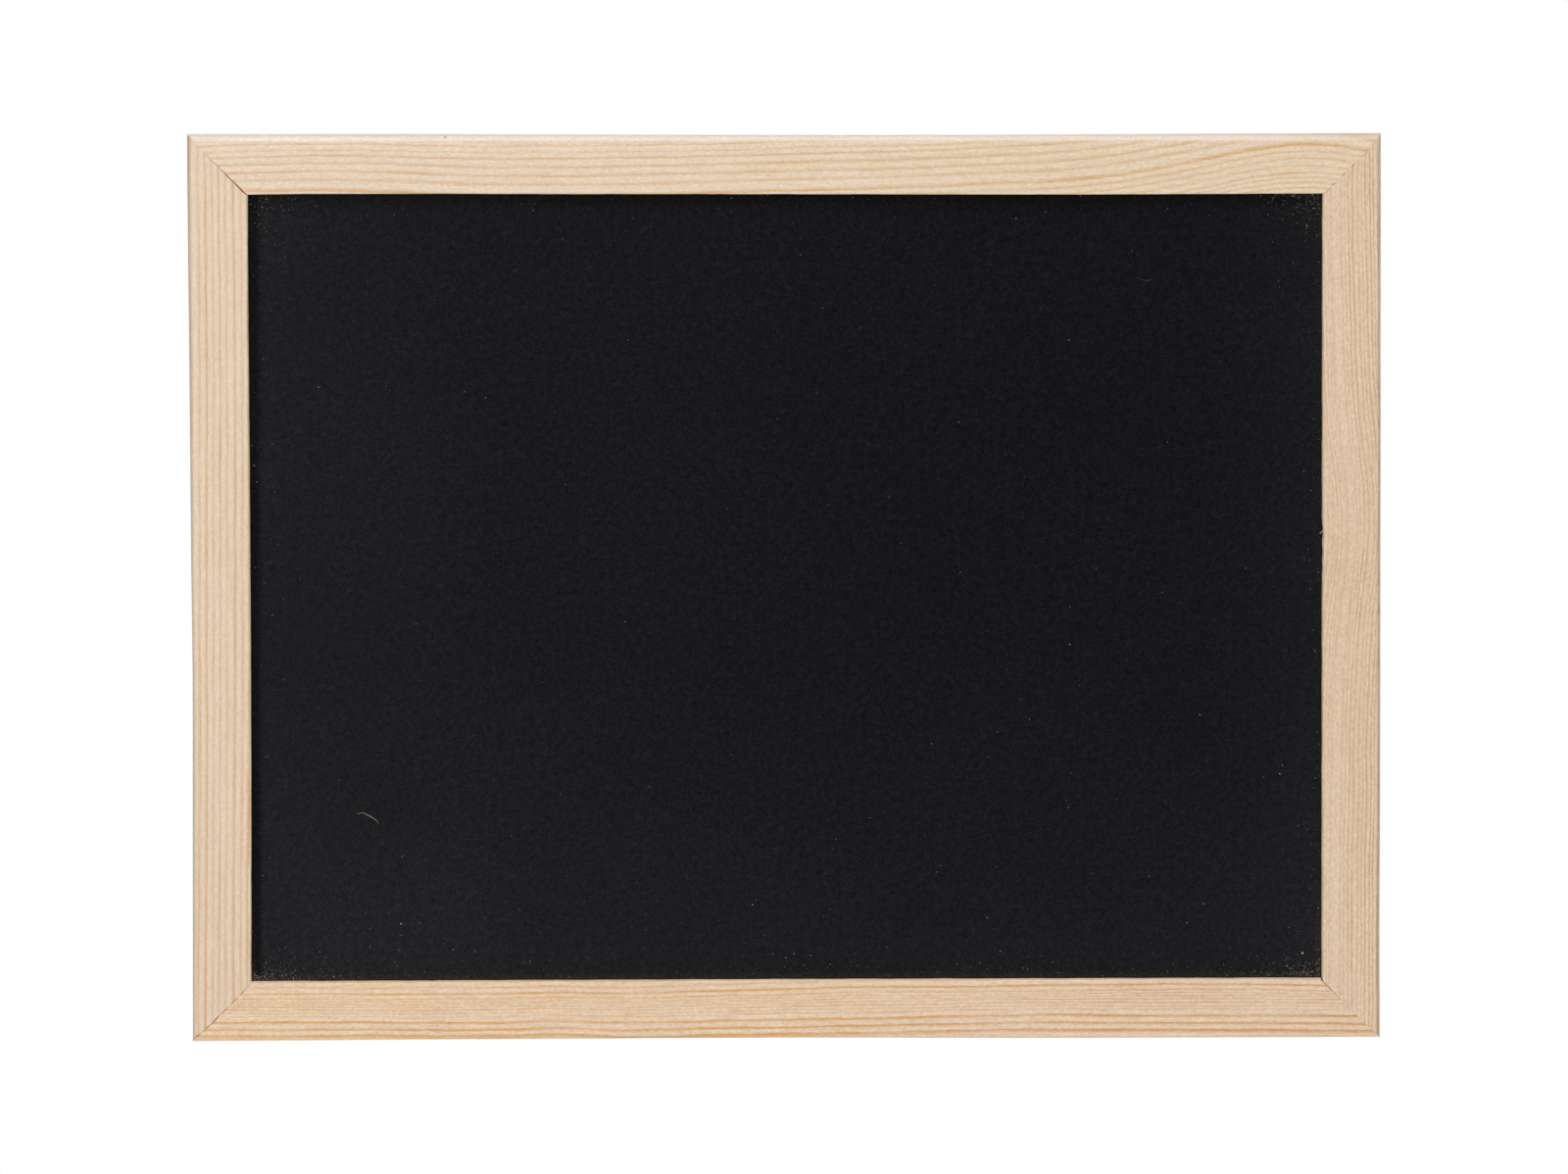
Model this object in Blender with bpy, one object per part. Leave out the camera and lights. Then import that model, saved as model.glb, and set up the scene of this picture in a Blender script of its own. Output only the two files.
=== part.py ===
# A small chalkboard for a wall: four mitred pine rails round a thin writing panel.
# Lengths are in metres. +X is the viewer's right, +Z is up and the writing side faces -Y.
# The origin is the middle of the top rail's back face, the face that lies to the wall.

import math

import bmesh
import bpy
from mathutils import Matrix, Vector

# Frame, as seen from the front
FRAME_WIDTH = 0.395
FRAME_HEIGHT = 0.300

# Section of the moulding
RAIL_WIDTH = 0.020
RAIL_DEPTH = 0.012
REBATE_WIDTH = 0.006
LIP_THICKNESS = 0.0035
OUTER_ARRIS_RADIUS = 0.0016
SIGHT_ARRIS_RADIUS = 0.0008
BACK_ARRIS_RADIUS = 0.0006

# Gaps between pieces that meet
MITRE_GAP = 0.0003
SEAT_GAP = 0.0003
FASTENER_CLEARANCE = 0.0003
PANEL_EDGE_CLEARANCE = 0.0005

# Writing panel
PANEL_THICKNESS = 0.003
PANEL_EDGE_BREAK = 0.0003

# V-shaped nails that pull each mitre together from the back
NAIL_LEG = 0.005
NAIL_FLANGE = 0.0009
NAIL_STRIP = 0.0005
NAIL_HEIGHT = 0.007
NAIL_SUNK = 0.0003
NAIL_SETBACK = 0.0035
NAIL_SPACING = 0.005
NAILS = ("outer", "inner")
NAIL_FLANGE_DEGREES = 60

# Flexible steel points, driven into the rebate's wall, that hold the panel in
POINT_LENGTH = 0.015
POINT_WIDTH = 0.006
POINT_THICKNESS = 0.0004
POINT_BITE = 0.006
POINT_TIP = 0.003
POINT_TIP_WIDTH = 0.0012
POINT_CORNER = 0.0008
RAIL_POINT_SHARES = (-0.33, 0.0, 0.33)
STILE_POINT_SHARES = (-0.25, 0.25)

# Hangers on the stiles: a strap folded round the bar of a D-shaped ring, held by one screw
HANGER_DROP = 0.065
STRAP_WIDTH = 0.008
STRAP_THICKNESS = 0.0007
STRAP_FOLD_GAP = 0.0003
STRAP_NECK_RADIUS = 0.001
STRAP_END_RADIUS = 0.0032
RING_WIRE = 0.002
RING_PLAY = 0.0003
RING_SIDE_PLAY = 0.0005
RING_REACH = 0.0095
RING_BEND_RADIUS = 0.0016

# Pan-head wood screw
SCREW_LENGTH = 0.010
SCREW_DIAMETER = 0.0028
SCREW_TIP = 0.003
SCREW_HEAD_DIAMETER = 0.0055
SCREW_HEAD_HEIGHT = 0.0019
SCREW_HEAD_SHOULDER = 0.0012
SCREW_EDGE_MARGIN = 0.0013
RECESS_SPAN = 0.003
RECESS_SLOT = 0.0007
RECESS_DEPTH = 0.0012
RECESS_FLOOR_SHARE = 0.45

# How far a cutter runs past the face that it opens
OVERRUN = 0.001

# Facets of round forms
ARRIS_STEPS = 5
EYE_STEPS = 16
BEND_STEPS = 6
BOW_STEPS = 20
ROUND_STEPS = 24
WIRE_RESOLUTION = 3
WELD_DISTANCE = 0.000001
SMOOTH_DEGREES = 35

# Places that follow from the sizes above
BACK_FACE_WIDTH = RAIL_WIDTH - REBATE_WIDTH
TOP_EDGE = BACK_FACE_WIDTH / 2
REBATE_DEPTH = RAIL_DEPTH - LIP_THICKNESS
PANEL_FRONT = REBATE_DEPTH - SEAT_GAP
PANEL_BACK = PANEL_FRONT - PANEL_THICKNESS
RING_AXIS_HEIGHT = SEAT_GAP + STRAP_THICKNESS + RING_PLAY + RING_WIRE / 2
STRAP_TOP = SEAT_GAP + 2 * STRAP_THICKNESS + STRAP_FOLD_GAP
RING_HALF_WIDTH = STRAP_WIDTH / 2 + RING_SIDE_PLAY + RING_WIRE / 2
SCREW_DROP = RING_REACH + RING_WIRE / 2 + SCREW_EDGE_MARGIN + SCREW_HEAD_DIAMETER / 2
STRAP_END_DROP = SCREW_DROP + SCREW_HEAD_DIAMETER / 2 + SCREW_EDGE_MARGIN

# Outlines are drawn in local X and Y and raised along local Z. These turns stand them up.
FACING_FRONT = (math.radians(90), 0.0, 0.0)
FACING_BACK = (math.radians(-90), 0.0, 0.0)
FACING_RIGHT = (math.radians(90), 0.0, math.radians(90))


def clear_scene():
    for thing in list(bpy.data.objects):
        bpy.data.objects.remove(thing, do_unlink=True)


def make_material(name, colour, roughness, metallic=0.0):
    finish = bpy.data.materials.new(name)
    finish.use_nodes = True
    shader = finish.node_tree.nodes["Principled BSDF"]
    shader.inputs["Base Color"].default_value = (*colour, 1.0)
    shader.inputs["Roughness"].default_value = roughness
    shader.inputs["Metallic"].default_value = metallic
    finish.diffuse_color = (*colour, 1.0)
    return finish


def add_object(name, data, parent=None, location=(0.0, 0.0, 0.0), rotation=(0.0, 0.0, 0.0)):
    thing = bpy.data.objects.new(name, data)
    bpy.context.scene.collection.objects.link(thing)
    thing.parent = parent
    thing.location = location
    thing.rotation_euler = rotation
    return thing


def finish_mesh(name, shape, finish=None):
    bmesh.ops.recalc_face_normals(shape, faces=shape.faces)
    mesh = bpy.data.meshes.new(name)
    shape.to_mesh(mesh)
    shape.free()
    if finish:
        mesh.materials.append(finish)
        mesh.shade_smooth()
        mesh.set_sharp_from_angle(angle=math.radians(SMOOTH_DEGREES))
    return mesh


def make_cutter(name, shape, **place):
    cutter = add_object(name, finish_mesh(name, shape), **place)
    cutter.display_type = "WIRE"
    cutter.hide_render = True
    return cutter


def cut(piece, cutter):
    cutting = piece.modifiers.new(f"cut {cutter.name}", "BOOLEAN")
    cutting.operation = "DIFFERENCE"
    cutting.object = cutter


def arc(centre, radius, start, end, steps):
    # Points of a circle's arc between two angles in degrees, both ends included.
    angles = [math.radians(start + (end - start) * step / steps) for step in range(steps + 1)]
    return [(centre[0] + radius * math.cos(a), centre[1] + radius * math.sin(a)) for a in angles]


def strip_outline(path, thickness):
    # Outline of a bent strip: its middle line set off by half the thickness to both sides.
    points = [Vector(point) for point in path]
    steps = [(after - before).normalized() for before, after in zip(points, points[1:])]
    left, right = [], []
    for point, arriving, leaving in zip(points, [steps[0]] + steps, steps + [steps[-1]]):
        along = (arriving + leaving).normalized()
        across = Vector((-along.y, along.x)) * (thickness / 2 / along.dot(arriving))
        left.append(tuple(point + across))
        right.append(tuple(point - across))
    return left + right[::-1]


def prism(outline, start, end, end_share=1.0):
    # Solid between an outline at one height and the same outline, scaled by a share, at another.
    shape = bmesh.new()
    base = shape.faces.new([shape.verts.new((x, y, start)) for x, y in outline])
    raised = bmesh.ops.extrude_face_region(shape, geom=[base])["geom"]
    rim = [item for item in raised if isinstance(item, bmesh.types.BMVert)]
    bmesh.ops.scale(shape, vec=(end_share, end_share, 1.0), verts=rim)
    bmesh.ops.translate(shape, vec=(0.0, 0.0, end - start), verts=rim)
    return shape


def turned(profile):
    # Solid turned about local Z from (radius, height) points that start and end on the axis.
    shape = bmesh.new()
    verts = [shape.verts.new((radius, 0.0, height)) for radius, height in profile]
    edges = [shape.edges.new(pair) for pair in zip(verts, verts[1:])]
    axis, centre = (0.0, 0.0, 1.0), (0.0, 0.0, 0.0)
    bmesh.ops.spin(
        shape, geom=verts + edges, axis=axis, cent=centre, angle=math.tau, steps=ROUND_STEPS
    )
    bmesh.ops.remove_doubles(shape, verts=shape.verts, dist=WELD_DISTANCE)
    return shape


def rail_section():
    # The moulding's section as (inward from the outer edge, forward from the back) points.
    outer, sight, back = OUTER_ARRIS_RADIUS, SIGHT_ARRIS_RADIUS, BACK_ARRIS_RADIUS
    return (
        arc((outer, RAIL_DEPTH - outer), outer, 180, 90, ARRIS_STEPS)
        + arc((RAIL_WIDTH - sight, RAIL_DEPTH - sight), sight, 90, 0, ARRIS_STEPS)
        + [(RAIL_WIDTH, REBATE_DEPTH), (BACK_FACE_WIDTH, REBATE_DEPTH), (BACK_FACE_WIDTH, 0.0)]
        + arc((back, back), back, 270, 180, ARRIS_STEPS)
    )


def make_rail(name, length, location, turn, finish):
    # A length of moulding cut at 45 degrees at both ends. Its origin is the middle of its outer
    # edge at the back, with local X along the rail, -Y forward and -Z inward.
    shape = bmesh.new()
    section = rail_section()
    setback = MITRE_GAP / math.sqrt(2)
    ends = []
    for side in (-1, 1):
        corners = [
            (side * (length / 2 - inward - setback), -forward, -inward)
            for inward, forward in section
        ]
        ends.append([shape.verts.new(corner) for corner in corners])
        shape.faces.new(ends[-1])
    for index in range(len(section)):
        shape.faces.new((ends[0][index - 1], ends[0][index], ends[1][index], ends[1][index - 1]))
    mesh = finish_mesh(name, shape, finish)
    return add_object(name, mesh, location=location, rotation=(0.0, math.radians(turn), 0.0))


def make_panel(finish):
    # The writing panel lies in the rebates, just behind the lip that frames it.
    width = FRAME_WIDTH - 2 * (BACK_FACE_WIDTH + PANEL_EDGE_CLEARANCE)
    height = FRAME_HEIGHT - 2 * (BACK_FACE_WIDTH + PANEL_EDGE_CLEARANCE)
    shape = bmesh.new()
    size = Matrix.Diagonal((width, PANEL_THICKNESS, height, 1.0))
    bmesh.ops.create_cube(shape, size=1.0, matrix=size)
    middle = (0.0, -(PANEL_FRONT + PANEL_BACK) / 2, TOP_EDGE - FRAME_HEIGHT / 2)
    panel = add_object("chalk_panel", finish_mesh("chalk_panel", shape, finish), location=middle)
    edges = panel.modifiers.new("broken edges", "BEVEL")
    edges.width = PANEL_EDGE_BREAK
    edges.segments = 1


def nail_path(setback, extra):
    # Middle line of a V-nail, seen from the front with the frame's outer corner at the origin:
    # one leg in each rail, the bend on the mitre, and a flared flange at each leg's end.
    near, far = setback, setback + NAIL_LEG
    flange = NAIL_FLANGE + extra
    along = flange * math.cos(math.radians(NAIL_FLANGE_DEGREES))
    aside = flange * math.sin(math.radians(NAIL_FLANGE_DEGREES))
    return [
        (far + along, aside - near),
        (far, -near),
        (near, -near),
        (near, -far),
        (near - aside, -far - along),
    ]


def make_corner_nails(corner, rail, other_rail, length, steel):
    # Two V-nails, driven from the back across the mitre at this rail's first end.
    place = (-length / 2, 0.0, 0.0)
    for number, row in enumerate(NAILS):
        setback = NAIL_SETBACK + number * NAIL_SPACING
        name = f"{corner}_nail_{row}"
        strip = strip_outline(nail_path(setback, 0.0), NAIL_STRIP)
        nail = prism(strip, NAIL_SUNK, NAIL_SUNK + NAIL_HEIGHT)
        add_object(name, finish_mesh(name, nail, steel), rail, place, FACING_FRONT)

        loose = strip_outline(
            nail_path(setback, FASTENER_CLEARANCE), NAIL_STRIP + 2 * FASTENER_CLEARANCE
        )
        kerf = prism(loose, -OVERRUN, NAIL_SUNK + NAIL_HEIGHT + FASTENER_CLEARANCE)
        slot = make_cutter(
            f"{name}_slot", kerf, parent=rail, location=place, rotation=FACING_FRONT
        )
        cut(rail, slot)
        cut(other_rail, slot)


def point_outline():
    # A blade with a blunt-nosed point towards +Y and clipped corners. Y is zero at the wall.
    half, nose, clip = POINT_WIDTH / 2, POINT_TIP_WIDTH / 2, POINT_CORNER
    tail = POINT_BITE - POINT_LENGTH
    return [
        (-nose, POINT_BITE),
        (-half, POINT_BITE - POINT_TIP),
        (-half, tail + clip),
        (clip - half, tail),
        (half - clip, tail),
        (half, tail + clip),
        (half, POINT_BITE - POINT_TIP),
        (nose, POINT_BITE),
    ]


def make_points(side, rail, length, shares, steel):
    # Blades that stand out of the rebate's wall over the panel's back, shared along the rail.
    front = PANEL_BACK - SEAT_GAP
    back = front - POINT_THICKNESS
    for number, share in enumerate(shares, start=1):
        name = f"{side}_point_{number}"
        place = (share * (length - 2 * RAIL_WIDTH), 0.0, -BACK_FACE_WIDTH)
        blade = prism(point_outline(), back, front)
        add_object(name, finish_mesh(name, blade, steel), rail, place, FACING_FRONT)

        half = POINT_WIDTH / 2 + FASTENER_CLEARANCE
        bottom = POINT_BITE + FASTENER_CLEARANCE
        pocket = [(-half, -OVERRUN), (half, -OVERRUN), (half, bottom), (-half, bottom)]
        kerf = prism(pocket, back - FASTENER_CLEARANCE, front + FASTENER_CLEARANCE)
        cut(rail, make_cutter(
            f"{name}_slot", kerf, parent=rail, location=place, rotation=FACING_FRONT
        ))


def strap_path():
    # Middle line of the folded strap as (away from the wood, up) points about the ring's axis:
    # up the under layer, round the ring's bar, and back down on top of itself.
    middle = RING_WIRE / 2 + RING_PLAY + STRAP_THICKNESS / 2
    under = -middle
    over = under + STRAP_THICKNESS + STRAP_FOLD_GAP
    neck_away = over + STRAP_NECK_RADIUS
    neck_up = -math.sqrt((middle + STRAP_NECK_RADIUS) ** 2 - neck_away ** 2)
    meeting = math.degrees(math.atan2(neck_up, neck_away))
    return (
        [(under, -STRAP_END_DROP)]
        + arc((0.0, 0.0), middle, 180, meeting, EYE_STEPS)
        + arc((neck_away, neck_up), STRAP_NECK_RADIUS, meeting + 180, 180, BEND_STEPS)[1:]
        + [(over, -STRAP_END_DROP)]
    )


def make_strap(side, hanger, steel):
    # The strap's side view drawn across its width, with the free corners of both layers rounded.
    name = f"{side}_hanger_strap"
    outline = strip_outline(strap_path(), STRAP_THICKNESS)
    shape = prism(outline, -STRAP_WIDTH / 2, STRAP_WIDTH / 2)
    free = [
        edge for edge in shape.edges
        if all(vert.co.y < -SCREW_DROP for vert in edge.verts)
        and edge.verts[0].co.z == edge.verts[1].co.z
    ]
    bmesh.ops.bevel(
        shape, geom=free, offset=STRAP_END_RADIUS, segments=ARRIS_STEPS, profile=0.5,
        affect="EDGES", clamp_overlap=True,
    )
    return add_object(name, finish_mesh(name, shape, steel), hanger, rotation=FACING_RIGHT)


def ring_path():
    # Middle line of the ring's wire as (right, up) points about its axis, hanging down. The
    # straight bar between the last point and the first one lies on the axis.
    half, bend = RING_HALF_WIDTH, RING_BEND_RADIUS
    return (
        arc((half - bend, -bend), bend, 90, 0, BEND_STEPS)
        + arc((0.0, half - RING_REACH), half, 0, -180, BOW_STEPS)
        + arc((bend - half, -bend), bend, 180, 90, BEND_STEPS)
    )


def ring_rest_tilt():
    # The ring leans back until its bow lies on the strap, first touched at the strap's edges.
    edge_reach = RING_REACH - RING_HALF_WIDTH + math.sqrt(
        RING_HALF_WIDTH ** 2 - (STRAP_WIDTH / 2) ** 2
    )
    rise = STRAP_TOP + SEAT_GAP + RING_WIRE / 2 - RING_AXIS_HEIGHT
    return math.asin(rise / edge_reach)


def make_ring(side, hanger, steel):
    # A D-shaped ring of round wire that swings on its bar, which is its origin.
    name = f"{side}_hanger_ring"
    wire = bpy.data.curves.new(name, "CURVE")
    wire.dimensions = "3D"
    wire.bevel_depth = RING_WIRE / 2
    wire.bevel_resolution = WIRE_RESOLUTION
    loop = wire.splines.new("POLY")
    route = ring_path()
    loop.points.add(len(route) - 1)
    for point, (right, up) in zip(loop.points, route):
        point.co = (right, 0.0, up, 1.0)
    loop.use_cyclic_u = True
    loop.use_smooth = True
    wire.materials.append(steel)
    add_object(name, wire, hanger, rotation=(ring_rest_tilt(), 0.0, 0.0))


def make_screw(side, hanger, place, steel):
    # Head with rounded shoulder, plain shank and pointed tip, turned about local Z.
    name = f"{side}_hanger_screw"
    head, shank, shoulder = SCREW_HEAD_DIAMETER / 2, SCREW_DIAMETER / 2, SCREW_HEAD_SHOULDER
    profile = (
        [(0.0, SCREW_HEAD_HEIGHT)]
        + arc((head - shoulder, SCREW_HEAD_HEIGHT - shoulder), shoulder, 90, 0, ARRIS_STEPS)
        + [(head, 0.0), (shank, 0.0), (shank, SCREW_TIP - SCREW_LENGTH), (0.0, -SCREW_LENGTH)]
    )
    screw = add_object(
        name, finish_mesh(name, turned(profile), steel), hanger, place, FACING_BACK
    )
    arm, slot = RECESS_SPAN / 2, RECESS_SLOT / 2
    quarter = [(arm, -slot), (arm, slot), (slot, slot)]
    cross = [
        tuple(Matrix.Rotation(math.radians(turn), 2) @ Vector(point))
        for turn in (0, 90, 180, 270) for point in quarter
    ]
    recess = prism(
        cross, SCREW_HEAD_HEIGHT + OVERRUN, SCREW_HEAD_HEIGHT - RECESS_DEPTH, RECESS_FLOOR_SHARE
    )
    cut(screw, make_cutter(
        f"{name}_recess", recess, parent=hanger, location=place, rotation=FACING_BACK
    ))


def make_hanger(side, across, stile, steel):
    # Strap, ring and screw stand about the ring's axis, on the middle of the stile's back.
    axis = (across * (FRAME_WIDTH / 2 - TOP_EDGE), RING_AXIS_HEIGHT, TOP_EDGE - HANGER_DROP)
    hanger = add_object(f"{side}_hanger", None, location=axis)
    strap = make_strap(side, hanger, steel)
    make_ring(side, hanger, steel)
    seat = (0.0, STRAP_TOP + SEAT_GAP - RING_AXIS_HEIGHT, -SCREW_DROP)
    make_screw(side, hanger, seat, steel)

    reach = SCREW_DIAMETER / 2 + FASTENER_CLEARANCE
    bottom = -(SCREW_LENGTH + FASTENER_CLEARANCE)
    bore = turned([(0.0, OVERRUN), (reach, OVERRUN), (reach, bottom), (0.0, bottom)])
    hole = make_cutter(
        f"{side}_hanger_screw_hole", bore, parent=hanger, location=seat, rotation=FACING_BACK
    )
    cut(strap, hole)
    cut(stile, hole)


def make_frame(pine):
    # Clockwise from the top as seen from the front, so that each rail starts at its own corner.
    middle = TOP_EDGE - FRAME_HEIGHT / 2
    right, bottom = FRAME_WIDTH / 2, TOP_EDGE - FRAME_HEIGHT
    return {
        "top": make_rail("top_rail", FRAME_WIDTH, (0.0, 0.0, TOP_EDGE), 0, pine),
        "right": make_rail("right_stile", FRAME_HEIGHT, (right, 0.0, middle), 90, pine),
        "bottom": make_rail("bottom_rail", FRAME_WIDTH, (0.0, 0.0, bottom), 180, pine),
        "left": make_rail("left_stile", FRAME_HEIGHT, (-right, 0.0, middle), 270, pine),
    }


def main():
    clear_scene()
    pine = make_material("pine", (0.76, 0.59, 0.42), 0.62)
    slate = make_material("chalk paint", (0.011, 0.011, 0.013), 0.85)
    zinc = make_material("zinc-plated steel", (0.62, 0.62, 0.63), 0.35, 1.0)
    blued = make_material("spring steel", (0.32, 0.33, 0.35), 0.4, 1.0)

    frame = make_frame(pine)
    make_panel(slate)
    make_corner_nails("top_left", frame["top"], frame["left"], FRAME_WIDTH, zinc)
    make_corner_nails("top_right", frame["right"], frame["top"], FRAME_HEIGHT, zinc)
    make_corner_nails("bottom_right", frame["bottom"], frame["right"], FRAME_WIDTH, zinc)
    make_corner_nails("bottom_left", frame["left"], frame["bottom"], FRAME_HEIGHT, zinc)
    for side, length, shares in (
        ("top", FRAME_WIDTH, RAIL_POINT_SHARES),
        ("right", FRAME_HEIGHT, STILE_POINT_SHARES),
        ("bottom", FRAME_WIDTH, RAIL_POINT_SHARES),
        ("left", FRAME_HEIGHT, STILE_POINT_SHARES),
    ):
        make_points(side, frame[side], length, shares, blued)
    make_hanger("left", -1, frame["left"], zinc)
    make_hanger("right", 1, frame["right"], zinc)


main()
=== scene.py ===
import math

import bpy
import numpy as np
from mathutils import Matrix, Vector


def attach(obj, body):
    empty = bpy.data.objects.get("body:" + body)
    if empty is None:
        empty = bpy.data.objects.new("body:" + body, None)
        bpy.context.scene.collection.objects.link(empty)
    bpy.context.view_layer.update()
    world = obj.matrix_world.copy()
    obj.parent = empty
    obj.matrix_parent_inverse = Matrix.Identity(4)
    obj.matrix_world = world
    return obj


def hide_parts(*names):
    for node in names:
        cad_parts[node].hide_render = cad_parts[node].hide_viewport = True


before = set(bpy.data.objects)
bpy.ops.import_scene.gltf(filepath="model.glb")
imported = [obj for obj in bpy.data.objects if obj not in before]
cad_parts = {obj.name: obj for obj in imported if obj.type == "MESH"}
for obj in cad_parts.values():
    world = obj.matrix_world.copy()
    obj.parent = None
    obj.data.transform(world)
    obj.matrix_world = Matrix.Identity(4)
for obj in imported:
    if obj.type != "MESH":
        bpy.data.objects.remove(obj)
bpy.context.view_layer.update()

# Lengths are in metres. +X is the viewer's right, +Z is up and the writing side faces -Y.
mm = 0.001
board = dict(width=395 * mm, height=300 * mm, topEdge=7 * mm)
middle = board["topEdge"] - board["height"] / 2
rng = np.random.default_rng(27)

photo = dict(pixelsWide=1600, eye=(-0.0792, -3.0090, -0.0328), yaw=1.502, pitch=2.104,
             roll=-0.076, pixelsPerTangent=9249.0, sensorWide=36.0)
# Each lamp's place, size and power; it looks at the middle of the board
lamps = {"key lamp": ((-0.20, -1.42, 1.52), (1.6, 1.2), 23.4),
         "fill lamp": ((-0.35, -0.95, 0.05), (0.5, 0.5), 1.45),
         "back lamp": ((0.7, 1.9, 0.75), (1.6, 1.2), 44.0)}
room = dict(light=0.244, towardsFront=0.62)
floorPlan = dict(height=-0.62, radius=2.4, colour=(0.88, 0.88, 0.87), spokes=96, rings=12)


def newObject(name, data):
    thing = bpy.data.objects.new(name, data)
    bpy.context.scene.collection.objects.link(thing)
    return thing


def makeCamera():
    # The view direction comes from yaw and pitch, and the picture then turns about it by the roll.
    yaw, pitch, roll = (math.radians(photo[key]) for key in ("yaw", "pitch", "roll"))
    ahead = Vector((math.sin(yaw) * math.cos(pitch), math.cos(yaw) * math.cos(pitch),
                    -math.sin(pitch)))
    level = Vector((math.cos(yaw), -math.sin(yaw), 0.0))
    across = math.cos(roll) * level + math.sin(roll) * level.cross(ahead)
    data = bpy.data.cameras.new("camera")
    data.sensor_width = photo["sensorWide"]
    data.lens = photo["pixelsPerTangent"] / photo["pixelsWide"] * photo["sensorWide"]
    camera = newObject("camera", data)
    turn = np.column_stack((across, across.cross(ahead), -ahead))
    camera.matrix_world = Matrix.Translation(photo["eye"]) @ Matrix(turn.tolist()).to_4x4()
    bpy.context.scene.camera = camera


def makeLamp(name, place, size, power):
    data = bpy.data.lights.new(name, "AREA")
    data.shape = "RECTANGLE"
    data.size, data.size_y = size
    data.energy = power
    lamp = newObject(name, data)
    lamp.location = place
    toBoard = Vector((0.0, 0.0, middle)) - lamp.location
    lamp.rotation_euler = toBoard.to_track_quat("-Z", "Y").to_euler()


makeCamera()
for name, lamp in lamps.items():
    makeLamp(name, *lamp)
bpy.context.scene.view_settings.view_transform = "Standard"


def startNodes(owner):
    # The nodes that are added from here on belong to this material or world.
    global tree
    owner.use_nodes = True
    tree = owner.node_tree


def newMaterial(name):
    material = bpy.data.materials.new(name)
    startNodes(material)
    return material, tree.nodes["Principled BSDF"], addNode("TexCoord").outputs["Object"]


def give(socket, value):
    # Links a socket, or sets a value. A colour gets its alpha.
    if isinstance(value, bpy.types.NodeSocket):
        tree.links.new(value, socket)
    else:
        socket.default_value = (*value, 1.0) if socket.type == "RGBA" else value


def addNode(kind, *inputs, **named):
    # Inputs are values or sockets, in the node's own order or by name. The names in small letters
    # are the node's settings.
    node = tree.nodes.new("ShaderNode" + kind)
    for key, value in named.items():
        if key.islower():
            setattr(node, key, value)
    for key, value in [*enumerate(inputs), *named.items()]:
        if not str(key).islower():
            give(node.inputs[key], value)
    return node


def calculate(operation, *values):
    return addNode("Math", *values, operation=operation).outputs[0]


def times(value, *factors):
    for factor in factors:
        value = calculate("MULTIPLY", value, factor)
    return value


def timesPlus(value, factor, added):
    return calculate("MULTIPLY_ADD", value, factor, added)


def spread(value, fromMin, fromMax, toMin=0.0, toMax=1.0, kind="LINEAR"):
    return addNode("MapRange", value, fromMin, fromMax, toMin, toMax,
                   interpolation_type=kind).outputs[0]


def ease(*values):
    return spread(*values, kind="SMOOTHSTEP")


def mapped(vector, kind="POINT", **inputs):
    return addNode("Mapping", vector, **inputs, vector_type=kind).outputs[0]


def distance(vector):
    return addNode("VectorMath", vector, operation="LENGTH").outputs["Value"]


def noise(coords, stretch, detail=2.0, roughness=0.5):
    # Noise between 0 and 1. Its cells are 1 / stretch long, the same or not in each direction.
    scale = np.broadcast_to(stretch, 3).astype(float)
    return addNode("TexNoise", Vector=mapped(coords, Scale=tuple(scale)), Scale=1.0,
                   Detail=detail, Roughness=roughness).outputs[0]


def blendColour(factor, first, second, kind="MIX"):
    node = addNode("Mix", factor, data_type="RGBA", blend_type=kind)
    give(node.inputs[6], first)
    give(node.inputs[7], second)
    return node.outputs[2]


def tint(tone, colour, share=1.0):
    return blendColour(share, tone, colour, "MULTIPLY")


def combine(*values):
    return addNode("CombineColor", *values).outputs[0]


def curve(value, points, smooth=True):
    # Reads value, from 0 to 1, off a curve through the given points.
    node = addNode("FloatCurve", Value=value)
    line = node.mapping.curves[0]
    for point in points[1:-1]:
        line.points.new(*point)
    for point, place in zip(line.points, points):
        point.location = place
        point.handle_type = "AUTO" if smooth else "VECTOR"
    node.mapping.update()
    return node.outputs[0]


def surface(shader, tone, rough, gloss=0.5, height=None, strength=0.0, depth=0.0):
    # Colour, roughness, specular level, and bump if there is a height.
    give(shader.inputs["Base Color"], tone)
    give(shader.inputs["Roughness"], rough)
    shader.inputs["Specular IOR Level"].default_value = gloss
    if height is not None:
        bump = addNode("Bump", Height=height, Strength=strength, Distance=depth)
        give(shader.inputs["Normal"], bump.outputs[0])


def makeWorld():
    # A pale room lights the board, the more from the side that the board faces. Seen directly,
    # or in gloss or glass, it is white.
    world = bpy.data.worlds.new("room")
    startNodes(world)
    bpy.context.scene.world = world
    path = addNode("LightPath").outputs
    seen = calculate("MAXIMUM", path["Is Camera Ray"], path["Is Glossy Ray"])
    seen = calculate("MAXIMUM", seen, path["Is Transmission Ray"])
    way = addNode("SeparateXYZ", addNode("TexCoord").outputs["Generated"]).outputs["Y"]
    ahead = timesPlus(way, -room["towardsFront"], 1.0)
    sky = tree.nodes["Background"]
    give(sky.inputs["Color"], (1.0, 1.0, 1.0))
    give(sky.inputs["Strength"], spread(seen, 0.0, 1.0, times(ahead, ahead, room["light"]), 1.0))


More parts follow.
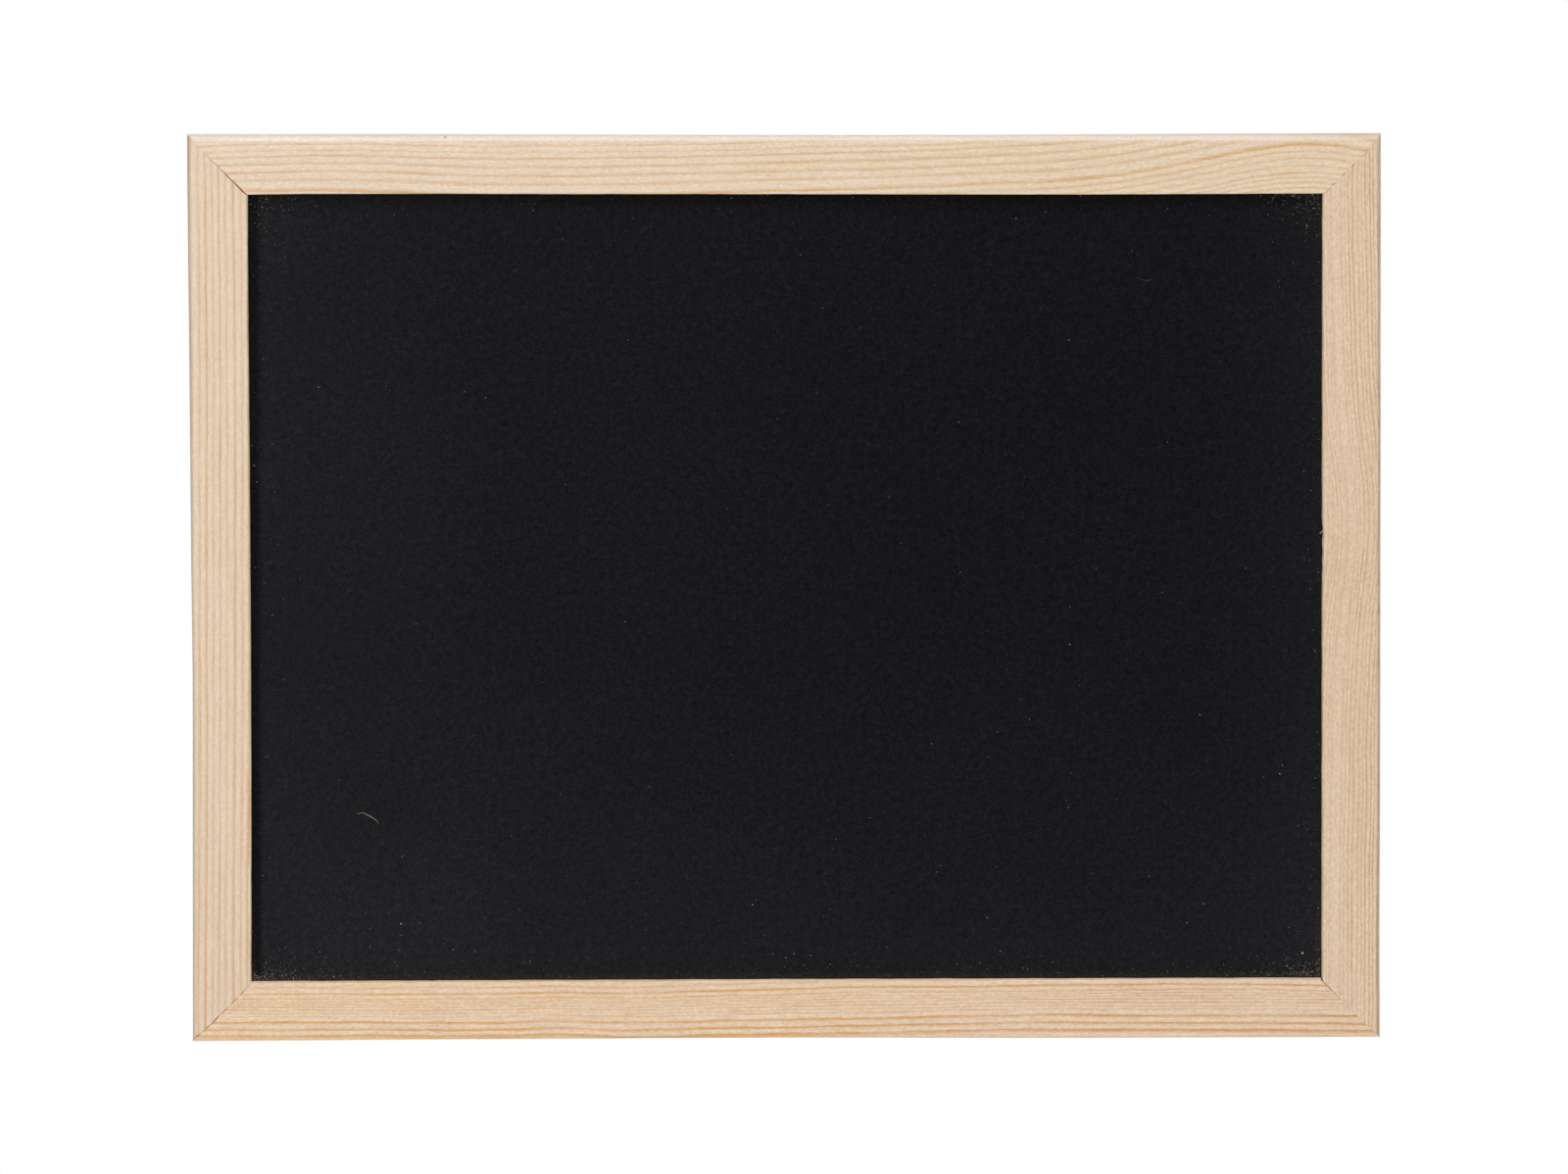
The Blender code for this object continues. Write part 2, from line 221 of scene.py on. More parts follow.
def makeFloor():
    # A round pale floor well below the hanging board, which fades into the room at its rim.
    radius, colour = floorPlan["radius"], floorPlan["colour"]
    turns = np.linspace(0, 2 * np.pi, floorPlan["spokes"] + 1)[:-1]
    rings = np.linspace(0.1, 1.0, floorPlan["rings"])[:, None] * radius
    points = stacked(rings * np.cos(turns), rings * np.sin(turns), floorPlan["height"])
    floor = gridObject("floor", points, closedAcross=True, caps=(True, False))

    material, shader, coords = newMaterial("pale floor")
    mottle = noise(coords, 9, detail=4.0)
    surface(shader, blendColour(mottle, tuple(0.97 * c for c in colour), colour), 0.8, gloss=0.1)
    reach = distance(mapped(coords, Scale=(1.0, 1.0, 0.0)))
    fade = ease(reach, 0.45 * radius, 0.97 * radius, 0.55, 1.0)
    white = addNode("Emission", (1.0, 1.0, 1.0), 1.0)
    shown = times(fade, addNode("LightPath").outputs["Is Camera Ray"])
    mix = addNode("MixShader", shown, shader.outputs[0], white.outputs[0])
    give(tree.nodes["Material Output"].inputs["Surface"], mix.outputs[0])
    floor.data.materials.append(material)


def stacked(*parts):
    # Coordinates, each a number or an array, brought to one shape and put side by side.
    return np.stack(np.broadcast_arrays(*parts), axis=-1)


def unit(vectors):
    return vectors / np.maximum(np.linalg.norm(vectors, axis=-1, keepdims=True), 1e-12)


def turned(x, y, angle):
    return x * np.cos(angle) - y * np.sin(angle), x * np.sin(angle) + y * np.cos(angle)


def shadeSmooth(mesh, degrees=35.0):
    mesh.shade_smooth()
    mesh.set_sharp_from_angle(angle=math.radians(degrees))


def meshObject(name, points, faces, smooth=True):
    mesh = bpy.data.meshes.new(name)
    mesh.from_pydata(np.asarray(points).reshape(-1, 3), [], faces)
    mesh.update()
    if smooth:
        shadeSmooth(mesh)
    return newObject(name, mesh)


def gridFaces(rows, columns, closedAlong=False, closedAcross=False, caps=(False, False), first=0):
    # Quads between the neighbouring points of a grid, all turned the same way. A cap closes the
    # first or the last row.
    row = np.arange(rows if closedAlong else rows - 1)[:, None]
    column = np.arange(columns if closedAcross else columns - 1)
    nextRow, nextColumn = (row + 1) % rows, (column + 1) % columns
    quads = stacked(row * columns + column, row * columns + nextColumn,
                    nextRow * columns + nextColumn, nextRow * columns + column)
    faces = (quads.reshape(-1, 4) + first).tolist()
    if caps[0]:
        faces.append([first + i for i in range(columns)][::-1])
    if caps[1]:
        faces.append([first + (rows - 1) * columns + i for i in range(columns)])
    return faces


tube = dict(closedAcross=True, caps=(True, True))


def gridObject(name, points, **closing):
    # A surface from a (rows, columns, 3) array
    return meshObject(name, points, gridFaces(*points.shape[:2], **closing))


def arc(radius, start, end, count):
    # Points of a circle about the origin between two angles in degrees.
    turn = np.radians(np.linspace(start, end, count))
    return radius * stacked(np.cos(turn), np.sin(turn))


def roundCorners(points, radii, steps=8, closed=True):
    # Replaces each corner of a polygon by an arc that touches both of its sides.
    points = np.asarray(points, float)
    result = []
    for index, (corner, radius) in enumerate(zip(points, radii)):
        if radius <= 0 or (not closed and index in (0, len(points) - 1)):
            result.append(corner[None])
            continue
        before = unit(points[index - 1] - corner)
        after = unit(points[(index + 1) % len(points)] - corner)
        half = math.acos(np.clip(before @ after, -1, 1)) / 2
        centre = corner + unit(before + after) * radius / math.sin(half)
        first = corner + before * radius / math.tan(half) - centre
        last = corner + after * radius / math.tan(half) - centre
        sweep = math.atan2(first[0] * last[1] - first[1] * last[0], first @ last)
        result.append(centre + stacked(*turned(*first, np.linspace(0, sweep, steps))))
    return np.concatenate(result)


def outlineNormals(outline):
    # Unit normals of a closed outline, to the right of the way it runs, by its neighbours' chord.
    chord = unit(np.roll(outline, -1, axis=-2) - np.roll(outline, 1, axis=-2))
    return stacked(chord[..., 1], -chord[..., 0])


def plateRings(outline, profile):
    # An outline that runs anticlockwise, drawn in once for each (inset, height) of the profile.
    inward = -outlineNormals(outline)
    return np.stack([stacked(*(outline + inset * inward).T, height) for inset, height in profile])


def edgeProfile(thickness, radius, inset, steps=4):
    # From inside the lower face, round the edge, to inside the upper face.
    lower, upper = arc(radius, -90, 0, steps), arc(radius, 0, 90, steps)
    return ([(inset, 0.0)] + [(radius - x, radius + y) for x, y in lower]
            + [(radius - x, thickness - radius + y) for x, y in upper] + [(inset, thickness)])


def prism(outline, start, end):
    # A plain solid between two heights, used only to cut with.
    return np.stack([stacked(*outline.T, height) for height in (start, end)])


def wobble(along, seed, longest=0.12):
    # A smooth unevenness between about -1 and 1: five sines of falling length and height.
    phase = np.random.default_rng(seed).uniform(0, 2 * np.pi, 5)
    power = np.arange(5)
    waves = np.sin(2 * np.pi * along[..., None] / (longest * 0.53 ** power) + phase)
    return (waves * 0.62 ** power).sum(-1) / 1.6


def modify(piece, kind, **settings):
    # Makes what a modifier shows the piece's own mesh.
    change = piece.modifiers.new(kind.lower(), kind)
    for key, value in settings.items():
        setattr(change, key, value)
    graph = bpy.context.evaluated_depsgraph_get()
    mesh = bpy.data.meshes.new_from_object(piece.evaluated_get(graph))
    piece.modifiers.clear()
    piece.data = mesh


def cutAway(piece, cutters):
    # Cuts the joined prisms out of the piece and removes them.
    faces, first = [], 0
    for rings in cutters:
        faces += gridFaces(*rings.shape[:2], **tube, first=first)
        first += rings.size // 3
    points = np.concatenate([rings.reshape(-1, 3) for rings in cutters])
    cutter = meshObject("cutter", points, faces, smooth=False)
    modify(piece, "BOOLEAN", operation="DIFFERENCE", solver="EXACT", object=cutter)
    bpy.data.objects.remove(cutter)
    shadeSmooth(piece.data)


def thicken(piece, thickness, edge, cutters=()):
    # Gives a sheet its thickness to both sides, cuts its holes, and rounds its edges.
    modify(piece, "SOLIDIFY", thickness=thickness, offset=0.0)
    if cutters:
        cutAway(piece, cutters)
    modify(piece, "BEVEL", width=edge, segments=2, limit_method="ANGLE",
           angle_limit=math.radians(50))
    shadeSmooth(piece.data, 50.0)


def paintFaces(piece, what, chosen):
    # The faces whose normal or centre is chosen take the piece's second material.
    values = np.empty(len(piece.data.polygons) * 3)
    piece.data.polygons.foreach_get(what, values)
    piece.data.polygons.foreach_set("material_index",
                                    chosen(values.reshape(-1, 3)).astype(np.int32))


def finishPiece(piece, slot, materials, *replaced, body="frame"):
    piece.data.materials.clear()
    for material in materials:
        piece.data.materials.append(material)
    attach(piece, body)
    if replaced:
        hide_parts(*replaced)


makeWorld()
makeFloor()
print("camera, lamps, room and floor")


# The rubbed colour is a pale painted highlight on the outer arris, with some rubbed wood
moulding = dict(width=20 * mm, depth=12 * mm, rebateWidth=6 * mm, lip=3.5 * mm,
                backArris=0.6 * mm, stations=200, tilt=0.55, sheenAndRubbed=(0.885, 0.765, 0.665),
                endDark=(0.22, 0.080, 0.022), endPale=(0.45, 0.190, 0.060))

# Growth lines stand at these (distance in mm from the outer edge, strength) at the rail's own
# corner. Along the rail, at (share of its length, mm or factor), they drift, draw together or
# apart, and may grow faint or get deeper. The outer arris is (how far inward, how far back, how
# flat). The bow is how many mm the outer and the inner edge stand in. Chips are small breaks in the
# sight edge: (share of length, length, how far it is worn back). Early and late wood have a colour
# at the rail's own corner, with the first of its mitres, and one at its far end.
# The arris rubbing is how much of a pale painted highlight, with some rubbed wood, the outer arris takes.
# The fringe darkens the outer edge as painted shade, or above 1 lightens it as painted light.
rails = dict(
    top=dict(
        node="top_rail", length=board["width"], turn=0, arris=(2.35 * mm, 2.2 * mm, 0.65),
        sight=0.35 * mm, worn=0.0, mitres=("topLeft", "topRight"), chips=[(.44, 2.5 * mm, .1 * mm)],
        lines=[(-4.4, .6), (-1.9, .52), (.7, .6), (3, .26), (4.44, .58), (6.5, .45), (8.37, .68),
               (10.99, .65), (13.69, .68), (16.28, .53), (19.84, .85), (21.96, .6), (24.09, .58),
               (26.27, .5), (28.43, .66), (29.8, .6), (31.3, .68), (32.9, .62), (35, .65), (37.5, .65),
               (40, .65)],
        drift=[(0, .23), (.05, .73), (.1, 1.13), (.166, 1.16), (.215, .85), (.24, .64), (.264, .68),
               (.31, .78), (.362, .94), (.411, 1.14), (.461, 1.54), (.51, 1.88), (.559, 2.1),
               (.608, 2.48), (.657, 3.47), (.7, 4.44), (.756, 6.08), (.82, 9.5), (.854, 11.88),
               (.903, 15.34), (.935, 16.3), (.955, 16), (.975, 15), (1, 13.5)],
        stretch=[(0, 1), (.1, 1), (.3, .92), (.5, .95), (.62, .97), (.76, .92), (.9, .92), (1, .9)],
        bow=[(0, 0, 0), (.06, 0, -.2), (.19, 0, -.2), (.29, .18, -.04), (.4, .36, -.02), (.55, .45, .1),
             (.68, .46, .23), (.78, .27, .28), (.88, .1, .17), (1, 0, .02)],
        early=((0.787, 0.648, 0.510), (0.782, 0.632, 0.473)),
        late=((0.700, 0.448, 0.260), (0.690, 0.440, 0.195)), sheenAndRubbing=1.0, paintedEdgeShade=0.88, flecks=0.15,
        grit=0.078, streaks=1.2, ticks=[(-112.3, 1.1, 0.9, 0.34, 50, 0.9)], seed=3),
    right=dict(
        node="right_stile", length=board["height"], turn=90, arris=(1.3 * mm, 3.2 * mm, 0.6),
        sight=0.8 * mm, worn=0.48 * mm, mitres=("topRight", "bottomRight"),
        chips=[(.43, 5.5 * mm, .42 * mm), (.456, 5 * mm, .3 * mm), (.476, 3 * mm, .2 * mm),
               (.31, 2 * mm, .12 * mm)],
        lines=[(-5, .56), (-3.6, .45), (-2.2, .56), (-.9, .45), (.3, .56), (1.2, .67), (2.55, .62),
               (3.47, .79), (5.04, .62), (6.23, .37), (7.46, .4), (9.33, .55), (10.67, .63), (12.08, .34),
               (13.06, .3), (16.9, .28), (17.57, .36), (18.66, .39), (19.97, .5), (21.25, .51),
               (21.75, .52), (23.4, .34), (24.8, .45), (26.3, .34), (28, .34), (30, .45), (32, .34)],
        drift=[(0, -.4), (.084, -.4), (.15, .05), (.21, .45), (.25, .7), (.3, 1.55), (.345, 2.9),
               (.405, 4.6), (.45, 4.65), (.49, 3.55), (.53, 2), (.58, 1), (.66, .2), (.73, .1),
               (.8, -.35), (.86, -.4), (1, -.4)],
        stretch=[(0, 1), (.25, 1), (.36, 1.02), (.43, 1.05), (.5, 1.04), (.6, 1), (1, 1)],
        fade=[(0, 1), (.22, 1), (.32, .93), (.42, .88), (.52, .91), (.62, 1), (1, 1)],
        deep=[(0, 0), (.1, .01), (.15, .03), (.22, .02), (.28, .05), (.42, .11), (.475, .13), (.54, .06),
              (.67, .055), (.8, .01), (1, 0)],
        bow=[(0, 0, 0), (.65, 0, 0), (.8, .15, 0), (.86, .22, 0), (1, .1, 0)],
        early=((0.778, 0.600, 0.439), (0.785, 0.602, 0.437)),
        late=((0.550, 0.346, 0.198), (0.580, 0.358, 0.196)), sheenAndRubbing=0.2, paintedEdgeShade=0.95, flecks=0.6,
        grit=0.105, streaks=1.1, seed=11),
    bottom=dict(
        node="bottom_rail", length=board["width"], turn=180, arris=(0.9 * mm, 1.2 * mm, 0.0),
        sight=0.8 * mm, worn=0.32 * mm, mitres=("bottomRight", "bottomLeft"),
        chips=[(.83, 3 * mm, .12 * mm)],
        lines=[(-5.5, .7), (-3, .8), (-1.6, .95), (1.5, .97), (3.58, .88), (5.99, 1), (7.97, .36),
               (8.87, .56), (9.98, .68), (11.05, .63), (11.95, .64), (12.8, .62), (13.77, .76),
               (15.49, 1), (17.54, .46), (19.6, .6), (21.5, .5), (23.5, .7), (26, .6), (29, .6), (32, .6)],
        drift=[(0, -.61), (.047, -.61), (.07, -.77), (.096, -.93), (.146, -1.06), (.195, -1.06),
               (.24, -1.08), (.294, -1.53), (.343, -1.29), (.393, -.9), (.442, -.63), (.49, -.19),
               (.541, .07), (.58, .23), (.63, .51), (.66, .06), (.689, -.45), (.739, -.09), (.788, .02),
               (.838, -.1), (.86, -.18), (.887, -.24), (.937, -.24), (1, -.24)],
        stretch=[(0, .95), (.24, .93), (.31, .96), (.49, .93), (.63, .97), (.675, 1), (.8, 1), (1, 1)],
        fade=[(0, .9), (.4, .95), (.7, 1), (1, 1)],
        bow=[(0, 0, 0), (.27, 0, .04), (.34, .12, .06), (.42, .3, .08), (.48, .45, .08), (.61, .46, .06),
             (.7, .33, .05), (.81, .27, .03), (.88, .13, 0), (1, 0, 0)],
        early=((0.795, 0.619, 0.471), (0.820, 0.631, 0.461)),
        late=((0.676, 0.355, 0.135), (0.745, 0.420, 0.160)), sheenAndRubbing=0.0, paintedEdgeShade=1.05, flecks=0.25,
        grit=0.094, streaks=1.8, seed=23),
    left=dict(
        node="left_stile", length=board["height"], turn=270, arris=(1.3 * mm, 3.2 * mm, 0.1),
        sight=0.8 * mm, worn=0.0, mitres=("bottomLeft", "topLeft"), chips=[],
        lines=[(-5.6, .55), (-3.5, .44), (-1.2, .55), (1.1, .55), (3.86, .54), (6.13, .78), (8.47, .47),
               (10.55, .62), (12.7, .46), (15.43, .71), (17.9, .45), (19.9, .8), (22.8, .66), (25, .55),
               (27.5, .55), (30, .55), (33, .55)],
        drift=[(0, .97), (.07, .87), (.14, .71), (.205, .46), (.269, .23), (.334, .1), (.399, .04),
               (.463, -.07), (.528, -.14), (.55, -.15), (.593, -.19), (.657, -.26), (.722, -.29),
               (.75, -.28), (.787, -.25), (.851, -.11), (.916, .1), (1, .08)],
        stretch=[(0, 1), (.5, 1), (1, 1)],
        bow=[(0, .85, .3), (.1, .91, .39), (.25, 1.03, .51), (.4, 1.2, .5), (.45, 1.08, .49),
             (.53, .83, .42), (.66, .62, .34), (.8, .39, .12), (.88, .19, .01), (.95, .03, 0), (1, 0, 0)],
        early=((0.788, 0.631, 0.489), (0.776, 0.632, 0.492)),
        late=((0.670, 0.405, 0.210), (0.660, 0.410, 0.220)), sheenAndRubbing=0.2, paintedEdgeShade=0.92, flecks=0.1,
        grit=0.058, streaks=1.1, seed=31),
)

# How wide each mitre stands open in front, at (share of the way out from the inner corner, mm),
# how far it lies off the diagonal, how unevenly the saw tore it, and the least distance from the
# frame's corner at which its two rails end. The groove closes at its depth, and the frame's
# corners and all edges of the joint are eased a little.
mitres = dict(
    topLeft=dict(gap=[(0, .52), (.07, .46), (.15, .38), (.3, .27), (.45, .16), (.55, .06), (.6, .1),
                      (.7, .03), (1, 0)],
                 shift=-0.50 * mm, torn=0.05 * mm, least=(0.05 * mm, 0.05 * mm), seed=41),
    topRight=dict(gap=[(0, .03), (.07, .08), (.12, .14), (.17, .02), (.3, 0), (1, 0)],
                  shift=1.10 * mm, torn=0.13 * mm, least=(0.05 * mm, 0.05 * mm), seed=43),
    bottomRight=dict(gap=[(0, .24), (.1, .16), (.2, .22), (.28, .06), (.4, .02), (.5, 0), (1, 0)],
                     shift=0.70 * mm, torn=0.06 * mm, least=(0.05 * mm, 0.05 * mm), seed=45),
    bottomLeft=dict(gap=[(0, .1), (.45, .11), (.55, .17), (.72, .22), (.78, .32), (.86, .24), (1, .12)],
                    shift=-1.30 * mm, torn=0.12 * mm, least=(0.05 * mm, 0.85 * mm), seed=47))
groove = dict(depth=0.34 * mm, ease=0.015 * mm, corner=0.30 * mm, tight=0.003 * mm)

# Each rail's own X, Y and Z start in the middle of its outer edge, at the back
railPlaces = dict(top=(0.0, 0.0, board["topEdge"]), right=(board["width"] / 2, 0.0, middle),
                  bottom=(0.0, 0.0, board["topEdge"] - board["height"]),
                  left=(-board["width"] / 2, 0.0, middle))
rebateWall = moulding["width"] - moulding["rebateWidth"]


def pineMaterial(side):
    # The growth rings cut the moulding as lines. A point's place across the rings is
    # across * stretch(along) + drift(along) + tilt * depth, made uneven by noise. A curve turns
    # that place into a count of rings, and each ring ends in a narrow band of late wood.
    rail = rails[side]
    material, shader, coords = newMaterial(f"pine {rail['node']}")
    own = mapped(coords, "TEXTURE", Location=railPlaces[side],
                 Rotation=(0.0, math.radians(rail["turn"]), 0.0))
    shifted = mapped(own, Location=(rail["seed"] * 0.05, 0.0, 0.0))
    split = addNode("SeparateXYZ", own).outputs
    share = spread(split["X"], -rail["length"] / 2, rail["length"] / 2)
    across = times(split["Z"], -1000.0)
    depth = timesPlus(split["Y"], 1000.0, moulding["depth"] * 1000)

    drift = curve(share, [(at, (by + 20) / 40) for at, by in rail["drift"]])
    drift = spread(drift, 0.0, 1.0, -20.0, 20.0)
    stretch = curve(share, [(at, by - 0.5) for at, by in rail["stretch"]])
    place = timesPlus(across, calculate("ADD", stretch, 0.5), drift)
    place = timesPlus(depth, moulding["tilt"], place)
    for stretch, reach in (((24, 110, 110), 1.0), ((85, 260, 260), 0.55), ((420, 2300, 2300), 0.40)):
        wander = calculate("SUBTRACT", noise(shifted, stretch), 0.5)
        place = timesPlus(wander, reach, place)

    lines = rail["lines"]
    first, last, count = lines[0][0], lines[-1][0], len(lines) - 1
    reach = spread(place, first, last)
    at = [(position - first) / (last - first) for position, strength in lines]
    ring = curve(reach, [(x, i / count) for i, x in enumerate(at)], smooth=False)
    within = calculate("FRACT", timesPlus(ring, float(count), -0.23))
    strength = curve(reach, [(x, line[1]) for x, line in zip(at, lines)])
    patchy = spread(noise(shifted, (45, 300, 300)), 0.3, 0.7, 0.68, 1.32)
    lateWood = times(ease(within, 0.36, 0.75), ease(within, 0.78, 1.0, 1.0, 0.0), strength, patchy)
    for change, operation in (("fade", "MULTIPLY"), ("deep", "ADD")):
        if change in rail:
            lateWood = calculate(operation, lateWood, curve(share, rail[change]))

    tone = blendColour(lateWood, blendColour(share, *rail["early"]), blendColour(share, *rail["late"]))
    # The outer arris turns pale: a painted highlight where light falls on it, with some rubbed wood. It is
    # strongest on the top rail and fades at that rail's far end.
    arris = rail["arris"][0] * 1000
    sheenAndRubbed = times(ease(across, 0.8 * arris, arris + 0.4, rail["sheenAndRubbing"], 0.0),
                   spread(share, 0.88, 0.97, 1.0, 0.3))
    tone = blendColour(sheenAndRubbed, tone, moulding["sheenAndRubbed"])
    clouds = spread(noise(shifted, (11, 90, 90), detail=3.0), 0.3, 0.7)
    tone = blendColour(clouds, tone, tint(tone, (0.972, 0.955, 0.93)))
    fibre = noise(shifted, (95, 2300, 2300), detail=3.0, roughness=0.6)
    streaks, grit = rail["streaks"], rail["grit"]
    shade = times(spread(fibre, 0.3, 0.7, 1 - 0.05 * streaks, 1 + 0.035 * streaks),
                  spread(noise(shifted, (900, 2300, 2300), detail=1.0), 0.25, 0.75, 1 - grit, 1 + grit))
    tone = tint(tone, combine(*(calculate("POWER", shade, power) for power in (1.0, 1.3, 1.6))))
    # Painted shade darkens the outer edge where it turns away from the light; on the bottom rail it is
    # painted light instead
    paintedEdgeShade = ease(across, 0.5, 1.3, rail["paintedEdgeShade"], 1.0)
    tone = tint(tone, combine(paintedEdgeShade, paintedEdgeShade, paintedEdgeShade))

    # Short pale flecks where a fibre stands open, more of them on some rails
    flecks = rail["flecks"]
    fleck = ease(noise(shifted, (900, 2700, 2700), detail=0.0), 0.82 - 0.07 * flecks,
                 0.88 - 0.07 * flecks, 0.0, 0.25 + 0.4 * flecks)
    tone = blendColour(fleck, tone, (0.89, 0.78, 0.64))
    # Resin ducts: short thin brown strokes along the grain
    duct = addNode("TexVoronoi", Vector=mapped(shifted, Scale=(120.0, 620.0, 620.0)), Scale=1.0).outputs
    chosen = addNode("SeparateColor", duct["Color"]).outputs[1]
    stroke = times(ease(duct["Distance"], 0.05, 0.17, 1.0, 0.0),
                   calculate("LESS_THAN", chosen, 0.045), 0.45)
    tone = blendColour(stroke, tone, (0.42, 0.25, 0.14))

    # Small dark ticks: (mm along from the middle, mm across, half length, half width, turn, strength)
    for along, inward, halfLength, halfWidth, turn, dark in rail.get("ticks", ()):
        tick = mapped(own, "TEXTURE", Location=(along * mm, 0.0, -inward * mm),
                      Rotation=(0.0, -math.radians(turn), 0.0),
                      Scale=(halfLength * mm, 1.0, halfWidth * mm))
        reach = distance(mapped(tick, Scale=(1.0, 0.0, 1.0)))
        tone = blendColour(ease(reach, 0.3, 1.0, dark, 0.0), tone, (0.30, 0.22, 0.16))

    rough = spread(timesPlus(lateWood, -0.35, fibre), 0.1, 0.8, 0.52, 0.70)
    surface(shader, tone, rough, 0.22, timesPlus(lateWood, 0.5, fibre), 0.35, 0.05 * mm)
    return material


def endGrain():
    # The sawn faces of a mitre, seen only in its gap: dull brown end grain with traces of glue.
    material, shader, coords = newMaterial("end grain")
    pores = noise(coords, 1800, detail=3.0)
    glue = noise(coords, 260)
    tone = blendColour(spread(pores, 0.3, 0.7), moulding["endDark"], moulding["endPale"])
    tone = blendColour(spread(glue, 0.45, 0.65, 0.0, 0.5), tone, (0.55, 0.28, 0.11))
    surface(shader, tone, spread(pores, 0.2, 0.8, 0.75, 0.95), 0.0, pores, 0.4, 0.05 * mm)
    return material


def ownToBoard(side, points):
    # From a rail's own X along, Y back and Z outward to the board, by its turn about Y.
    x, y, z = np.moveaxis(points, -1, 0)
    x, z = turned(x, z, -math.radians(rails[side]["turn"]))
    return stacked(x, y, z) + railPlaces[side]


def mouldingSections(arris, sight):
    # The moulding's outline as (inward, forward) points, one row for each station. The arris is a
    # quarter of an ellipse drawn towards its own chord by its flatness.
    width, depth, back = moulding["width"], moulding["depth"], moulding["backArris"]
    backFace, rebate = width - moulding["rebateWidth"], depth - moulding["lip"]
    inner, down, flat = arris
    quarter = arc(1.0, 180, 90, 12)
    chord = quarter[0] + (quarter[-1] - quarter[0]) * np.linspace(0, 1, 12)[:, None]
    quarter = quarter + (chord - quarter) * flat
    one = np.ones_like(inner)

    def line(start, end, count):
        share = np.linspace(0, 1, count + 1)[:-1]
        first, last = (stacked(a * one, b * one) for a, b in (start, end))
        return first + (last - first) * share[:, None]

    def bend(centre, radii, turn):
        return stacked(*(c * one for c in centre)) + stacked(*(r * one for r in radii)) * turn

    parts = [line((0.0, back), (0.0, depth - down), 8),
             bend((inner, depth - down), (inner, down), quarter),
             line((inner, depth), (width - sight, depth), 44)[:, 1:],
             bend((width - sight, depth - sight), (sight, sight), arc(1.0, 90, 0, 8)),
             line((width, depth - sight), (width, rebate), 5)[:, 1:],
             line((width, rebate), (backFace, rebate), 6), line((backFace, rebate), (backFace, 0.0), 8),
             line((backFace, 0.0), (back, 0.0), 14),
             bend((back, back), (back, back), arc(1.0, 270, 180, 6))[:, :-1]]
    front = np.concatenate([np.full(part.shape[1], float(i in (1, 2, 3))) for i, part in enumerate(parts)])
    return np.concatenate(parts, axis=1), front


def mitreEnd(name, inward, front, way, gapped=True):
    # How far from the frame's corner a rail ends: on the mitre that is as far as inward. The gap,
    # and the shift and tearing that both rails share, move only the front part of the outline. The
    # shift dies out towards the frame's corner.
    mitre = mitres[name]
    out = 1 - inward / moulding["width"]
    gap = np.interp(out, *np.array(mitre["gap"]).T) * mm * gapped
    gap = gap * (1 + 0.3 * wobble(inward, mitre["seed"], longest=4 * mm))
    torn = mitre["torn"] * wobble(inward, mitre["seed"] + 1, longest=3 * mm)
    torn = torn + mitre["shift"] * np.interp(out, (0.72, 1), (1, 0.15))
    end = np.maximum(inward, groove["corner"] - inward) + front * (gap / math.sqrt(2) + way * torn)
    return np.clip(end, mitre["least"][0 if way > 0 else 1], moulding["width"])


def makeRail(side):
    # The section is carried along the rail. Its last rows are the eased edge of the mitre and,
    # drawn in along the section's normals, the line where the groove is closed.
    rail = rails[side]
    half, width, seed = rail["length"] / 2, moulding["width"], rail["seed"]
    share = np.linspace(-1, 1, moulding["stations"])
    share = np.concatenate([[-1.0, -1.0], share, [1.0, 1.0]])[:, None]
    along = share * half
    uneven = 1 + 0.10 * wobble(along, seed)
    inner, down, flatness = rail["arris"]
    sight = rail["sight"] * (1 + 0.22 * wobble(along, seed + 1, longest=0.05))
    section, front = mouldingSections((inner * uneven, down * uneven, flatness), sight)
    inward, forward = section[..., 0], section[..., 1]

    # The sight edge is worn back a little here and there, and more at the chips
    behindLip = moulding["depth"] - moulding["lip"] - 0.2 * mm
    lip = np.clip((inward - 0.88 * width) / (0.12 * width), 0, 1) ** 2 * (forward > behindLip)
    wear = 0.05 * mm * wobble(along, seed + 2, longest=0.03) - rail["worn"]
    for at, length, depth in rail["chips"]:
        gap = (along + half) / rail["length"] - at
        wear = wear - depth * np.exp(-(gap * rail["length"] / (length / 2)) ** 2)
    inward = inward + lip * np.minimum(wear, 0.0)
    at, *bows = np.array(rail["bow"]).T
    outerBow, innerBow = (np.interp((share + 1) / 2, at, bow * mm) for bow in bows)
    inward = inward + outerBow + (innerBow - outerBow) * inward / width

    first, last = rail["mitres"]
    ends = [half - groove["ease"] - mitreEnd(name, inward, front, way)
            for name, way in ((first, 1), (last, -1))]
    x = -ends[0] + (ends[0] + ends[1]) * (share + 1) / 2
    for name, way, rows in ((first, 1, (0, 1)), (last, -1, (-1, -2))):
        flat = stacked(inward[rows[1]], forward[rows[1]])
        normals = outlineNormals(flat)
        for row, drawn, gapped in ((rows[0], groove["depth"], False), (rows[1], groove["ease"], True)):
            inward[row], forward[row] = (flat + drawn * normals).T
            x[row] = way * (mitreEnd(name, inward[row], front, way, gapped) + groove["tight"] - half)
    return gridObject(rail["node"] + "_pine", ownToBoard(side, stacked(x, -forward, -inward)), **tube)


